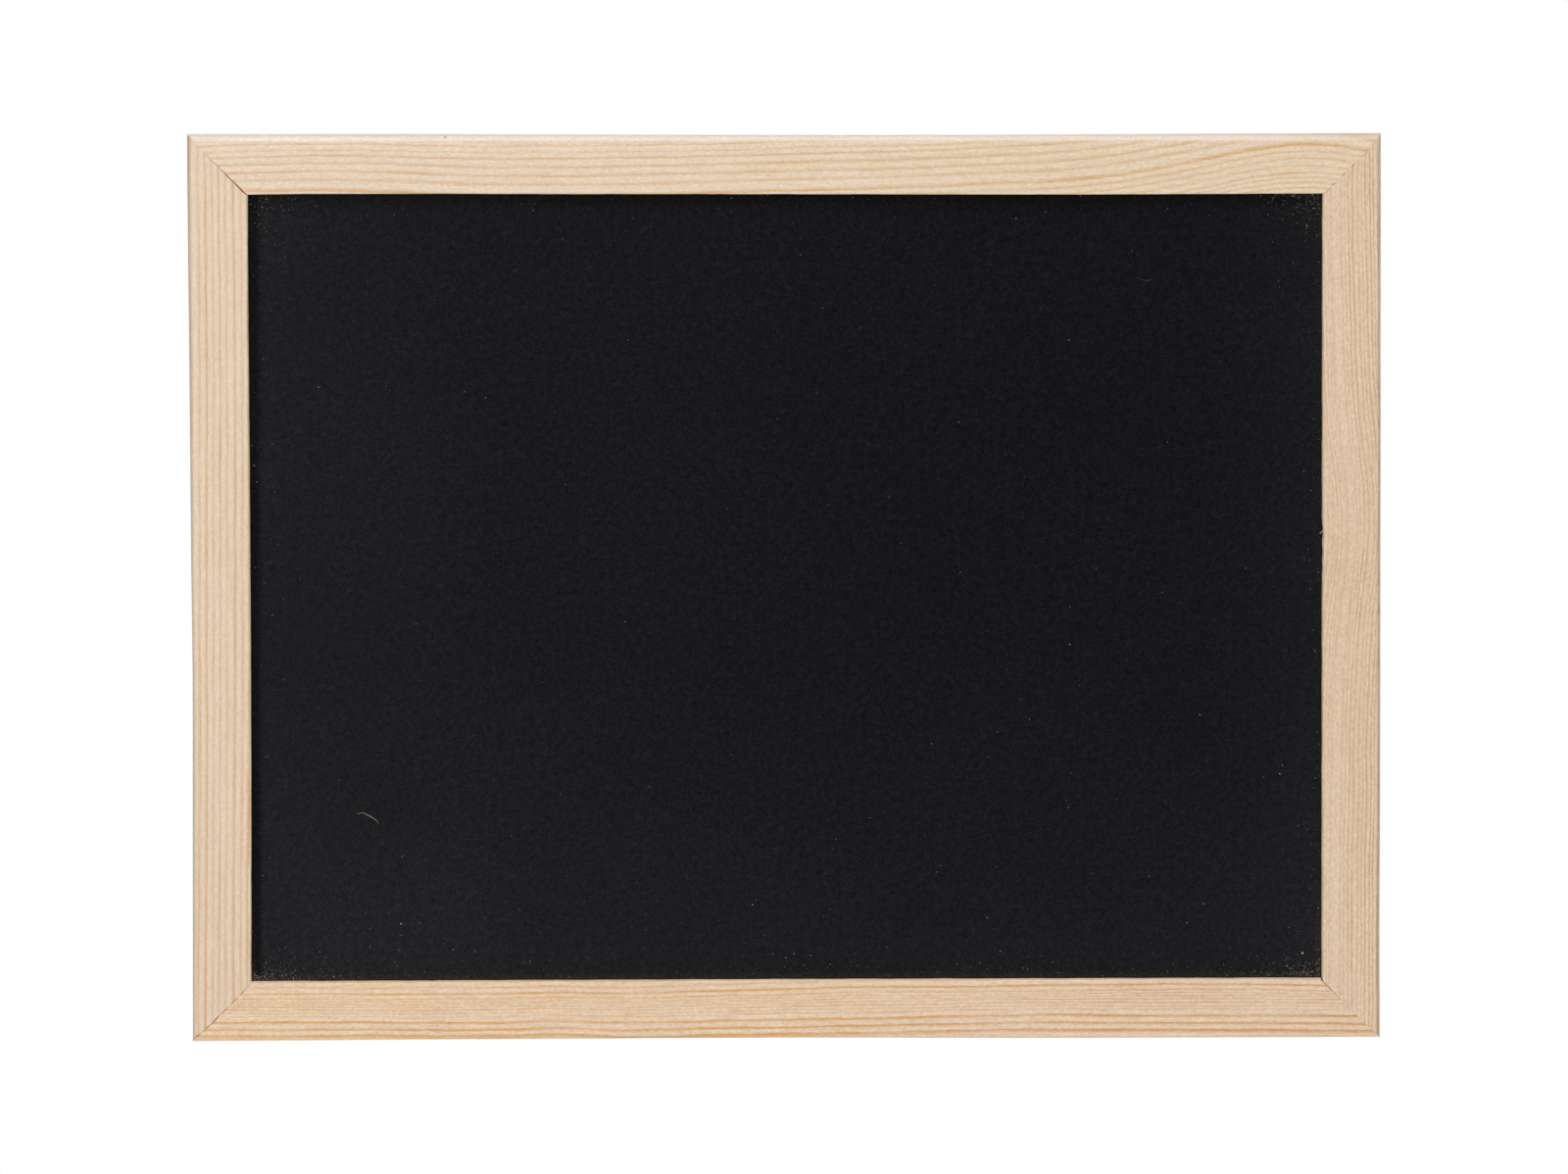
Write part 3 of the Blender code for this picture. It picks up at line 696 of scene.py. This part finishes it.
nail = dict(leg=5 * mm, flange=0.9 * mm, strip=0.5 * mm, height=7 * mm, sunk=0.3 * mm,
            setback=3.5 * mm, spacing=5 * mm, flare=60, bend=0.5 * mm, flareBend=0.35 * mm,
            edge=0.08 * mm, inset=0.14 * mm, kerf=0.04 * mm)
point = dict(length=15 * mm, width=6 * mm, thickness=0.4 * mm, bite=6 * mm, tip=3 * mm,
             nose=1.2 * mm, corner=0.8 * mm, shoulderBend=1 * mm, noseBend=0.35 * mm, edge=0.06 * mm,
             spring=0.16 * mm, dimple=0.22 * mm, dimpleWide=0.9 * mm, dimpleBack=4.6 * mm,
             front=4.9 * mm, kerf=0.04 * mm, rail=(-0.33, 0.0, 0.33), stile=(-0.25, 0.25))


def nailLine(setback, extra=0.0):
    # Middle line of a V-nail about the frame's outer corner: a leg in each rail and two flares.
    near, far = setback, setback + nail["leg"]
    flare, turn = nail["flange"] + extra, math.radians(nail["flare"])
    run, rise = flare * math.cos(turn), flare * math.sin(turn)
    path = [(far + run, rise - near), (far, -near), (near, -near), (near, -far),
            (near - rise, -far - run)]
    return roundCorners(path, [0, nail["flareBend"], nail["bend"], nail["flareBend"], 0],
                        closed=False, steps=6)


def stripOutline(line, thickness):
    # The line set off to both sides by half the strip's thickness, as one closed outline.
    step = unit(np.diff(line, axis=0))
    tangent = unit(np.concatenate([step[:1], step[:-1] + step[1:], step[-1:]]))
    side = stacked(-tangent[:, 1], tangent[:, 0]) * thickness / 2
    return np.concatenate([line - side, (line + side)[::-1]])


def standUp(rings, along=0.0, outward=0.0):
    # From (along, outward, height) about a point of the rail to its own X, Y and Z.
    x, y, height = np.moveaxis(rings, -1, 0)
    return stacked(x + along, -height, y + outward)


def bladeOutline(grow):
    # A blade that points outward, with a blunt nose and rounded corners, grown to all sides.
    half, nose = point["width"] / 2 + grow, point["nose"] / 2 + grow
    tip, tail = point["bite"] + grow, point["bite"] - point["length"] - grow
    shoulder = point["bite"] - point["tip"]
    path = [(-half, tail), (half, tail), (half, shoulder), (nose, tip), (-nose, tip), (-half, shoulder)]
    return roundCorners(path, [point[key] for key in ("corner", "corner", "shoulderBend",
                                                    "noseBend", "noseBend", "shoulderBend")])


def steelMaterial(name, colour, roughness, spangle, streak):
    # Bare or plated steel: crystals of plating, fine draw marks, and a duller film in patches.
    material, shader, coords = newMaterial(name)
    cells = addNode("TexVoronoi", Vector=coords, Scale=900.0).outputs["Color"]
    crystal = addNode("SeparateColor", cells).outputs[0]
    marks = noise(coords, (2500, 2500, 160), detail=3.0)
    film = noise(coords, 220, detail=4.0, roughness=0.6)
    tone = blendColour(timesPlus(crystal, spangle, times(film, 0.35)), colour,
                       tuple(0.62 * c for c in colour))
    rough = timesPlus(crystal, spangle * 0.3, timesPlus(film, 0.22, roughness - 0.10))
    shader.inputs["Metallic"].default_value = 1.0
    surface(shader, tone, rough, 0.5, timesPlus(marks, streak, film), 0.3, 0.02 * mm)
    return material


def makeNail(name, side, setback, steel):
    # The strip stands on edge in its kerf, with its edges a little rounded.
    outline = stripOutline(nailLine(setback), nail["strip"])
    profile = [(inset, height + nail["sunk"])
               for inset, height in edgeProfile(nail["height"], nail["edge"], nail["inset"])]
    rings = standUp(plateRings(outline, profile), -rails[side]["length"] / 2)
    finishPiece(gridObject(name + "_strip", ownToBoard(side, rings), **tube), "nail_steel", [steel], name)


def nailKerf(side, setback):
    outline = stripOutline(nailLine(setback, nail["kerf"]), nail["strip"] + 2 * nail["kerf"])
    rings = prism(outline, -1 * mm, nail["sunk"] + nail["height"] + nail["kerf"])
    return ownToBoard(side, standUp(rings, -rails[side]["length"] / 2))


def makeBlade(name, side, along, steel):
    # A sheet whose half width follows the blade's outline. It springs towards the panel along its
    # free end by a square law, and has one round dimple pressed in.
    bite, corner, tail = point["bite"], point["corner"], point["bite"] - point["length"]
    shoulder = bite - point["tip"]
    turn = np.radians(np.linspace(0, 90, 9))
    outward = np.concatenate([tail + corner * (1 - np.cos(turn)),
                              np.linspace(tail + corner, shoulder, 40)[1:],
                              np.linspace(shoulder, bite, 14)[1:]])
    wide = point["width"] / 2
    half = np.interp(outward, [tail, shoulder, bite - point["noseBend"], bite],
                     [wide, wide, 0.81 * mm, 0.42 * mm])
    half[:9] -= corner * (1 - np.sin(turn))
    x = np.linspace(-1, 1, 25) * half[:, None]
    y = outward[:, None]
    spring = point["spring"] * np.clip(y / tail, 0, 1) ** 2
    away = (x / point["dimpleWide"]) ** 2 + ((y + point["dimpleBack"]) / point["dimpleWide"]) ** 2
    dimple = point["dimple"] * np.exp(-away ** 2)
    height = point["front"] - point["thickness"] / 2 + spring - dimple
    piece = gridObject(name + "_blade",
                       ownToBoard(side, standUp(stacked(x, y, height), along, -rebateWall)))
    thicken(piece, point["thickness"], point["edge"])
    finishPiece(piece, "point_steel", [steel], name)


def bladeKerf(side, along):
    rings = prism(bladeOutline(point["kerf"]), point["front"] - point["thickness"] - point["kerf"],
                  point["front"] + point["kerf"])
    return ownToBoard(side, standUp(rings, along, -rebateWall))


hanger = dict(axis=(190.5 * mm, 2.3 * mm, -58 * mm), strapWidth=8 * mm, strapThickness=0.7 * mm,
              fold=0.3 * mm, neck=1.0 * mm, endRadius=3.2 * mm, strapEnd=18.6 * mm,
              wire=2.0 * mm, play=0.3 * mm, ringHalf=5.5 * mm, reach=9.5 * mm,
              ringBend=1.6 * mm, screwDrop=14.55 * mm, holeRadius=1.65 * mm, seat=2.03 * mm,
              edge=0.12 * mm)
screw = dict(length=10 * mm, shank=1.4 * mm, core=0.98 * mm, tip=3 * mm, pitch=1.15 * mm,
             head=2.75 * mm, headHeight=1.9 * mm, shoulder=1.2 * mm, arm=1.5 * mm,
             slot=0.35 * mm, recess=1.2 * mm, floorShare=0.45, collar=1.3 * mm, hole=1.43 * mm)


def resample(path, stations):
    # Points of a polyline at the given shares of its length.
    length = np.concatenate([[0], np.cumsum(np.linalg.norm(np.diff(path, axis=0), axis=1))])
    return stacked(*(np.interp(stations * length[-1], length, part) for part in path.T))


def makeStrap(name, across, steel):
    # A flat strip carried along its side view: up, round the ring's bar and down on itself. Its
    # half width closes along a quarter circle at both ends.
    bend = hanger["wire"] / 2 + hanger["play"] + hanger["strapThickness"] / 2
    over = -bend + hanger["strapThickness"] + hanger["fold"]
    neck, width, end = hanger["neck"], hanger["strapWidth"], hanger["endRadius"]
    away = over + neck
    up = -math.sqrt((bend + neck) ** 2 - away ** 2)
    meeting = math.degrees(math.atan2(up, away))
    path = np.concatenate([[(-bend, -hanger["strapEnd"])], arc(bend, 180, meeting, 60),
                           np.array([away, up]) + arc(neck, meeting + 180, 180, 24)[1:],
                           [(over, -hanger["strapEnd"])]])
    total = np.linalg.norm(np.diff(path, axis=0), axis=1).sum()
    turn = np.radians(np.linspace(0, 90, 13))
    ends = end * (1 - np.cos(turn)) / total
    stations = np.concatenate([ends, np.linspace(ends[-1], 1 - ends[-1], 120)[1:-1], 1 - ends[::-1]])
    half = np.full(len(stations), width / 2)
    half[:13] = width / 2 - end * (1 - np.sin(turn))
    half[-13:] = half[12::-1]
    line = resample(path, stations)
    x, y, z = hanger["axis"]
    points = stacked(across * x + np.linspace(-1, 1, 17) * half[:, None], y + line[:, :1],
                     z + line[:, 1:])
    piece = gridObject(name + "_folded", points)
    hole = prism(arc(hanger["holeRadius"], 0, 360, 49)[:-1], -1 * mm, 4 * mm)
    thicken(piece, hanger["strapThickness"], hanger["edge"], [onScrew(hole, across, 0.0)])
    finishPiece(piece, "hanger_zinc", [steel], name)


def makeRing(name, across, body, steel):
    # Round wire carried round a D: straight bar, two bends and a half-round bow. It leans back
    # about its bar until the bow lies on the strap.
    half, bend, reach, radius = hanger["ringHalf"], hanger["ringBend"], hanger["reach"], hanger["wire"] / 2
    path = np.concatenate([np.array([half - bend, -bend]) + arc(bend, 90, 0, 16),
                           np.array([0.0, half - reach]) + arc(half, 0, -180, 60),
                           np.array([bend - half, -bend]) + arc(bend, 180, 90, 16), [(half - bend, 0.0)]])
    line = resample(path, np.linspace(0, 1, 181)[:-1])
    side = -outlineNormals(line)
    turn = np.linspace(0, 2 * np.pi, 25)[:-1]
    x = line[:, :1] + radius * np.cos(turn) * side[:, :1]
    z = line[:, 1:] + radius * np.cos(turn) * side[:, 1:]
    strapTop = 2 * hanger["strapThickness"] + 2 * hanger["fold"]
    edgeReach = reach - half + math.sqrt(half ** 2 - (hanger["strapWidth"] / 2) ** 2)
    tilt = math.asin((strapTop + hanger["fold"] + radius - hanger["axis"][1]) / edgeReach)
    y, z = turned(-radius * np.sin(turn), z, tilt)
    points = stacked(x, y, z) + np.array(hanger["axis"]) * (across, 1, 1)
    piece = gridObject(name + "_wire", points, closedAlong=True, closedAcross=True)
    finishPiece(piece, "hanger_zinc", [steel], name, body=body)


def onScrew(rings, across, seat=hanger["seat"]):
    # From (x, y, height) about the screw's axis to the board, with the height pointing backwards.
    x, y, height = np.moveaxis(rings, -1, 0)
    return stacked(x + across * hanger["axis"][0], height + seat,
                   hanger["axis"][2] - hanger["screwDrop"] - y)


def makeScrew(name, across, steel):
    # Turned from the tip up. The thread is a ridge that climbs one pitch in each turn: its height
    # falls off with the distance from the ridge line, height - pitch * angle / full turn.
    depth = np.linspace(-screw["length"], -1.2 * mm, 120)[:, None]
    turn = np.linspace(0, 2 * np.pi, 49)[:-1]
    taper = np.clip((depth + screw["length"]) / screw["tip"], 0.02, 1.0) ** 0.7
    phase = np.mod(depth / screw["pitch"] - turn / (2 * np.pi), 1.0)
    ridge = np.clip(1 - np.abs(phase - 0.5) / 0.26, 0, 1)
    radius = (screw["core"] + (screw["shank"] - screw["core"]) * ridge) * taper
    collar, head, shoulder = screw["collar"], screw["head"], screw["shoulder"]
    top = screw["headHeight"]
    edge = arc(shoulder, 0, 84, 16) + np.array([head - shoulder, top - shoulder])
    profile = np.concatenate([[(screw["core"], -1.0 * mm), (collar, -0.6 * mm), (collar, 0.0),
                               (head - 0.12 * mm, 0.0), (head, 0.1 * mm), (head, 0.4 * mm)],
                              edge, [(0.9 * mm, top + 0.02 * mm), (0.02 * mm, top + 0.03 * mm)]])
    rings = np.concatenate([stacked(r * np.cos(turn), r * np.sin(turn), level) for r, level
                            in ((radius, depth), (profile[:, :1], profile[:, 1:]))])
    piece = gridObject(name + "_turned", onScrew(rings, across), **tube)
    arm, slot = screw["arm"], screw["slot"]
    quarter = np.array([(arm, -slot), (arm, slot), (slot, slot)])
    cross = np.concatenate([stacked(*turned(*quarter.T, angle))
                            for angle in np.radians([22, 112, 202, 292])])
    # The recess widens from its floor to past the top
    floor, rise = screw["floorShare"], 1 * mm
    recess = np.stack([stacked(*(cross * share).T, level) for share, level in (
        (floor, top - screw["recess"]), (1.0 + (1 - floor) * rise / screw["recess"], top + rise))])
    cutAway(piece, [onScrew(recess, across)])
    finishPiece(piece, "screw_zinc", [steel], name)


def screwHole(across):
    outline = arc(screw["hole"], 0, 360, 33)[:-1]
    return onScrew(prism(outline, -screw["length"] - 0.1 * mm, 0.5 * mm), across)


# The haze colour is wiped chalk with painted sheen, and the film colour is fine sawdust with painted warm
# light from the wood
panel = dict(clearance=0.5 * mm, front=8.2 * mm, thickness=3 * mm, edge=0.35 * mm,
             corner=0.9 * mm, inset=0.6 * mm, coat=(0.0043, 0.0046, 0.0061),
             hazeAndSheen=(0.051, 0.050, 0.055), film=(0.30, 0.20, 0.07), board=(0.21, 0.115, 0.058),
             leftLipShadow=(7.6 * mm, 10.4 * mm), screen=1.25 * mm)
panelWide, panelHigh = (board[key] - 2 * (rebateWall + panel["clearance"]) for key in ("width", "height"))
sightWide, sightHigh = (board[key] / 2 - moulding["width"] for key in ("width", "height"))


def makePanel():
    # A plate whose edge profile is carried round a rectangle with just rounded corners.
    corner = np.array([(-1, -1), (1, -1), (1, 1), (-1, 1)]) * (panelWide / 2, panelHigh / 2)
    outline = roundCorners(corner, [panel["corner"]] * 4, steps=6)
    profile = [(inset, level + panel["front"] - panel["thickness"]) for inset, level
               in edgeProfile(panel["thickness"], panel["edge"], panel["inset"])]
    piece = gridObject("writing_panel", standUp(plateRings(outline, profile), outward=middle), **tube)
    finishPiece(piece, "chalk_panel", [chalkCoat(), hardboard()], "chalk_panel")
    paintFaces(piece, "center", lambda centres: centres[:, 1] > -panel["front"] + 0.2 * mm)


def chalkCoat():
    # Matt coat with a fine tooth, and a thin haze that thickens towards the left, the foot and the edges:
    # partly wiped chalk, partly painted sheen and, at the foot, painted light thrown up from the wood.
    material, shader, coords = newMaterial("chalk coat")
    split = addNode("SeparateXYZ", coords).outputs
    left = spread(split["X"], -panelWide / 2, panelWide * 0.2, 1.0, 0.0)
    right = spread(split["X"], panelWide * 0.27, panelWide / 2)
    foot = spread(split["Z"], middle + panelHigh / 2, middle - panelHigh / 2)
    left = timesPlus(calculate("POWER", left, 8.0), 0.43, calculate("POWER", left, 1.8))
    hazeAndSheen = timesPlus(left, 0.105, 0.030)
    hazeAndSheen = timesPlus(calculate("POWER", right, 4.0), 0.125, hazeAndSheen)
    hazeAndSheen = timesPlus(calculate("POWER", foot, 4.0), 0.127, hazeAndSheen)
    # The haze is kept off a band beside the left stile: a painted shadow of its lip
    hazeAndSheen = times(hazeAndSheen, ease(split["X"], *(edge - panelWide / 2 for edge in panel["leftLipShadow"])))
    cloud = spread(noise(coords, 14, detail=4.0), 0.3, 0.7, 0.85, 1.15)
    tooth = spread(noise(coords, 1500), 0.25, 0.75, 0.25, 1.75)
    shade = times(tooth, spread(noise(coords, 480), 0.3, 0.7, 0.72, 1.28))
    tone = blendColour(times(hazeAndSheen, cloud), panel["coat"], panel["hazeAndSheen"])
    tone = tint(tone, combine(shade, shade, shade), spread(hazeAndSheen, 0.03, 0.16, 1.0, 0.66))

    # A warm film along the frame, most at the foot: fine sawdust and painted warm light thrown back from
    # the wood
    besideX = calculate("SUBTRACT", calculate("ABSOLUTE", split["X"]), sightWide)
    up = calculate("SUBTRACT", split["Z"], middle)
    besideZ = calculate("SUBTRACT", calculate("ABSOLUTE", up), sightHigh)
    film = times(ease(calculate("MAXIMUM", besideX, besideZ), -2.8 * mm, 0.2 * mm),
                 spread(foot, 0.85, 0.93, 0.009, 0.040), tooth)
    tone = blendColour(film, tone, panel["film"])
    surface(shader, tone, spread(tooth, 0.4, 1.6, 0.70, 0.86), 0.05, tooth, 0.25, 0.03 * mm)
    return material


def hardboard():
    # Pressed wood fibre with the print of the screen it was pressed on.
    material, shader, coords = newMaterial("hardboard")
    split = addNode("SeparateXYZ", coords).outputs
    weave = times(*(calculate("SINE", times(split[axis], 2 * math.pi / panel["screen"]))
                    for axis in "XZ"))
    fibres = noise(coords, 900, detail=5.0, roughness=0.65)
    mottle = noise(coords, 60, detail=5.0, roughness=0.6)
    dark, pale = (tuple(share * c for c in panel["board"]) for share in (0.72, 1.25))
    tone = blendColour(spread(fibres, 0.3, 0.7), dark, pale)
    tone = blendColour(spread(mottle, 0.35, 0.7, 0.0, 0.35), tone, (0.12, 0.066, 0.036))
    tone = blendColour(spread(weave, -1.0, -0.2, 0.30, 0.0), tone, (0.09, 0.05, 0.03))
    surface(shader, tone, spread(fibres, 0.3, 0.7, 0.62, 0.82), 0.3,
            timesPlus(weave, 0.6, fibres), 0.6, 0.08 * mm)
    return material


# A heap is (towards which corner, how many crumbs, how it thins out in mm). Single crumbs and
# fibres have their place on the board in mm. Edge crumbs are shared out left, right, top, foot.
dust = dict(loose=520, edge=800, edgeDepth=4 * mm, edgeShares=(0.20, 0.30, 0.16, 0.34), foot=230,
            footDepth=16 * mm, smallest=0.035 * mm, largest=0.17 * mm, thick=0.055 * mm, margin=0.15 * mm,
            heaps=[((-1, -1), 520, (10, 2)), ((1, -1), 480, (10, 3)), ((1, 1), 420, (6, 4.5)),
                   ((-1, 1), 260, (11, 6))],
            crumbs=[(-127.7, -254.5, .26), (165, -202.7, .27), (164.1, -205.6, .2), (94, -61.4, .14),
                    (-128.4, -263.3, .18), (-19.3, -117.1, .14), (171.8, -265.2, .5)],
            fibres=[(.055, [(-142.3, -217.9), (-140, -217.6), (-138.4, -218.5), (-136.5, -219.5),
                            (-134.9, -221.1)]),
                    (.011, [(117, -40.6), (118.3, -41.6), (119.9, -41.9), (121.5, -41.3)])])
# A sliver that stands off the right stile's sight edge: its ends, its radius where it leaves, its bow
splinter = dict(start=(178.9 * mm, -11.75 * mm, -123.6 * mm), end=(177.1 * mm, -11.3 * mm, -125.7 * mm),
                radius=0.17 * mm, bow=0.12 * mm)


def dustPlaces():
    # Loose crumbs anywhere, more along the edges, and a heap in each corner that thins outwards.
    reach = np.array([sightWide, sightHigh])
    loose, edge = (rng.uniform(-1, 1, (dust[key], 2)) * reach for key in ("loose", "edge"))
    away = rng.exponential(dust["edgeDepth"], dust["edge"])
    which = rng.choice(4, dust["edge"], p=dust["edgeShares"])
    for number, (axis, way) in enumerate(((0, -1), (0, 1), (1, 1), (1, -1))):
        edge[which == number, axis] = way * (reach[axis] - away[which == number])
    foot = rng.uniform(-1, 1, (dust["foot"], 2)) * reach
    foot[:, 1] = -sightHigh + rng.exponential(dust["footDepth"], dust["foot"])
    heaps = [np.array(toward) * (reach - rng.exponential(1.0, (many, 2)) * thins * mm)
             for toward, many, thins in dust["heaps"]]
    crumbs = np.array(dust["crumbs"]) * mm
    places = np.concatenate([loose, edge, foot] + heaps + [crumbs[:, :2] - (0.0, middle)])
    size = dust["smallest"] + ((dust["largest"] - dust["smallest"])
                               * rng.uniform(0, 1, len(places)) ** 5)
    size[len(loose) + len(edge):][:len(foot)] += dust["thick"] * rng.uniform(0, 1, len(foot))
    size[-len(crumbs):] = crumbs[:, 2]
    limit = reach - dust["margin"]
    return np.clip(places, -limit, limit), size


def makeDust(wood):
    # Each crumb is an eight-sided lump, stretched and turned at random, lying on the coat.
    places, size = dustPlaces()
    count = len(places)
    lump = np.array([(1, 0, 0), (0, 1, 0), (-1, 0, 0), (0, -1, 0), (0, 0, 1), (0, 0, -1)], float)
    faces = np.array([(0, 1, 4), (1, 2, 4), (2, 3, 4), (3, 0, 4),
                      (1, 0, 5), (2, 1, 5), (3, 2, 5), (0, 3, 5)])
    shape = lump * (1 + rng.uniform(-0.3, 0.3, (count, 6, 1)))
    shape = shape * stacked(size, size * rng.uniform(0.4, 0.9, count),
                            size * rng.uniform(0.25, 0.5, count))[:, None]
    x, z = turned(shape[..., 0], shape[..., 1], rng.uniform(0, 2 * np.pi, count)[:, None])
    low = shape[..., 2].min(axis=1, keepdims=True)
    points = stacked(x + places[:, :1], -panel["front"] - (shape[..., 2] - low),
                     z + places[:, 1:] + middle)
    index = (faces + 6 * np.arange(count)[:, None, None]).reshape(-1, 3)
    finishPiece(meshObject("sawdust", points, index.tolist(), smooth=False), "pine", [wood])


def strand(path, radii, sides=6):
    # Rings about a path that runs near the board's plane: one way is across the path in that
    # plane, the other is the board's own normal.
    across = np.cross(unit(np.gradient(path, axis=0)), (0.0, 1.0, 0.0))
    turn = np.linspace(0, 2 * np.pi, sides + 1)[:-1, None]
    ring = np.cos(turn) * across[:, None] + np.sin(turn) * np.array([0.0, 1.0, 0.0])
    return path[:, None] + radii[:, None, None] * ring


def makeStrands(wood):
    # Loose fibres lie in bends on the coat, and the sliver tapers to its free end.
    points, faces = [], []
    for thick, path in dust["fibres"]:
        path = resample(np.array(path) * mm, np.linspace(0, 1, 24))
        path[1:-1] = 0.25 * path[:-2] + 0.5 * path[1:-1] + 0.25 * path[2:]
        radii = thick * mm * (1 - 0.6 * np.linspace(-1, 1, 24) ** 2)
        rings = strand(stacked(path[:, 0], -panel["front"] - radii, path[:, 1]), radii)
        faces += gridFaces(*rings.shape[:2], **tube, first=rings.size // 3 * len(points))
        points.append(rings)
    finishPiece(meshObject("fibres", np.array(points), faces), "pine", [wood])
    share = np.linspace(0, 1, 16)[:, None]
    line = np.array(splinter["start"]) * (1 - share) + np.array(splinter["end"]) * share
    line[:, 0] += splinter["bow"] * np.sin(np.pi * share[:, 0])
    radii = splinter["radius"] * (1 - 0.8 * share[:, 0] ** 2)
    finishPiece(gridObject("splinter", strand(line, radii), **tube), "pine", [wood])


def dustMaterial():
    # Pale crumbs that differ a little in tone.
    material, shader, coords = newMaterial("sawdust")
    tone = blendColour(spread(noise(coords, 500, detail=1.0), 0.3, 0.7),
                       (0.42, 0.36, 0.30), (0.74, 0.66, 0.56))
    surface(shader, tone, spread(noise(coords, 3000), 0.2, 0.8, 0.6, 0.9))
    return material


zinc = steelMaterial("zinc plate", (0.68, 0.69, 0.70), 0.34, 0.22, 0.5)
screwZinc = steelMaterial("screw plate", (0.70, 0.70, 0.69), 0.30, 0.14, 0.8)
strip = steelMaterial("strip steel", (0.55, 0.55, 0.56), 0.36, 0.05, 1.0)
spring = steelMaterial("spring steel", (0.30, 0.32, 0.35), 0.38, 0.05, 1.0)

cuts = {side: [] for side in rails}
for corner, pair in dict(top_left=("top", "left"), top_right=("right", "top"),
                         bottom_right=("bottom", "right"), bottom_left=("left", "bottom")).items():
    for number, row in enumerate(("outer", "inner")):
        setback = nail["setback"] + number * nail["spacing"]
        makeNail(f"{corner}_nail_{row}", pair[0], setback, strip)
        for side in pair:
            cuts[side].append(nailKerf(pair[0], setback))
for side, rail in rails.items():
    shares = point["rail"] if side in ("top", "bottom") else point["stile"]
    for number, share in enumerate(shares, start=1):
        along = share * (rail["length"] - 2 * moulding["width"])
        makeBlade(f"{side}_point_{number}", side, along, spring)
        cuts[side].append(bladeKerf(side, along))
print("nails and points")

for side, across in (("left", -1), ("right", 1)):
    makeStrap(f"{side}_hanger_strap", across, zinc)
    makeRing(f"{side}_hanger_ring", across, f"{side}_ring", zinc)
    makeScrew(f"{side}_hanger_screw", across, screwZinc)
    cuts[side].append(screwHole(across))
print("hangers")

sawn = endGrain()
for side, rail in rails.items():
    piece = makeRail(side)
    cutAway(piece, cuts[side])
    finishPiece(piece, "pine", [pineMaterial(side), sawn], rail["node"])
    # Faces that look along the rail are its mitres.
    along = ownToBoard(side, np.array([1.0, 0.0, 0.0])) - railPlaces[side]
    paintFaces(piece, "normal", lambda normals: np.abs(normals @ along) > 0.5)
    print(rail["node"], len(piece.data.polygons), "faces")

makePanel()
sawdust = dustMaterial()
makeDust(sawdust)
makeStrands(sawdust)
print("panel and sawdust")
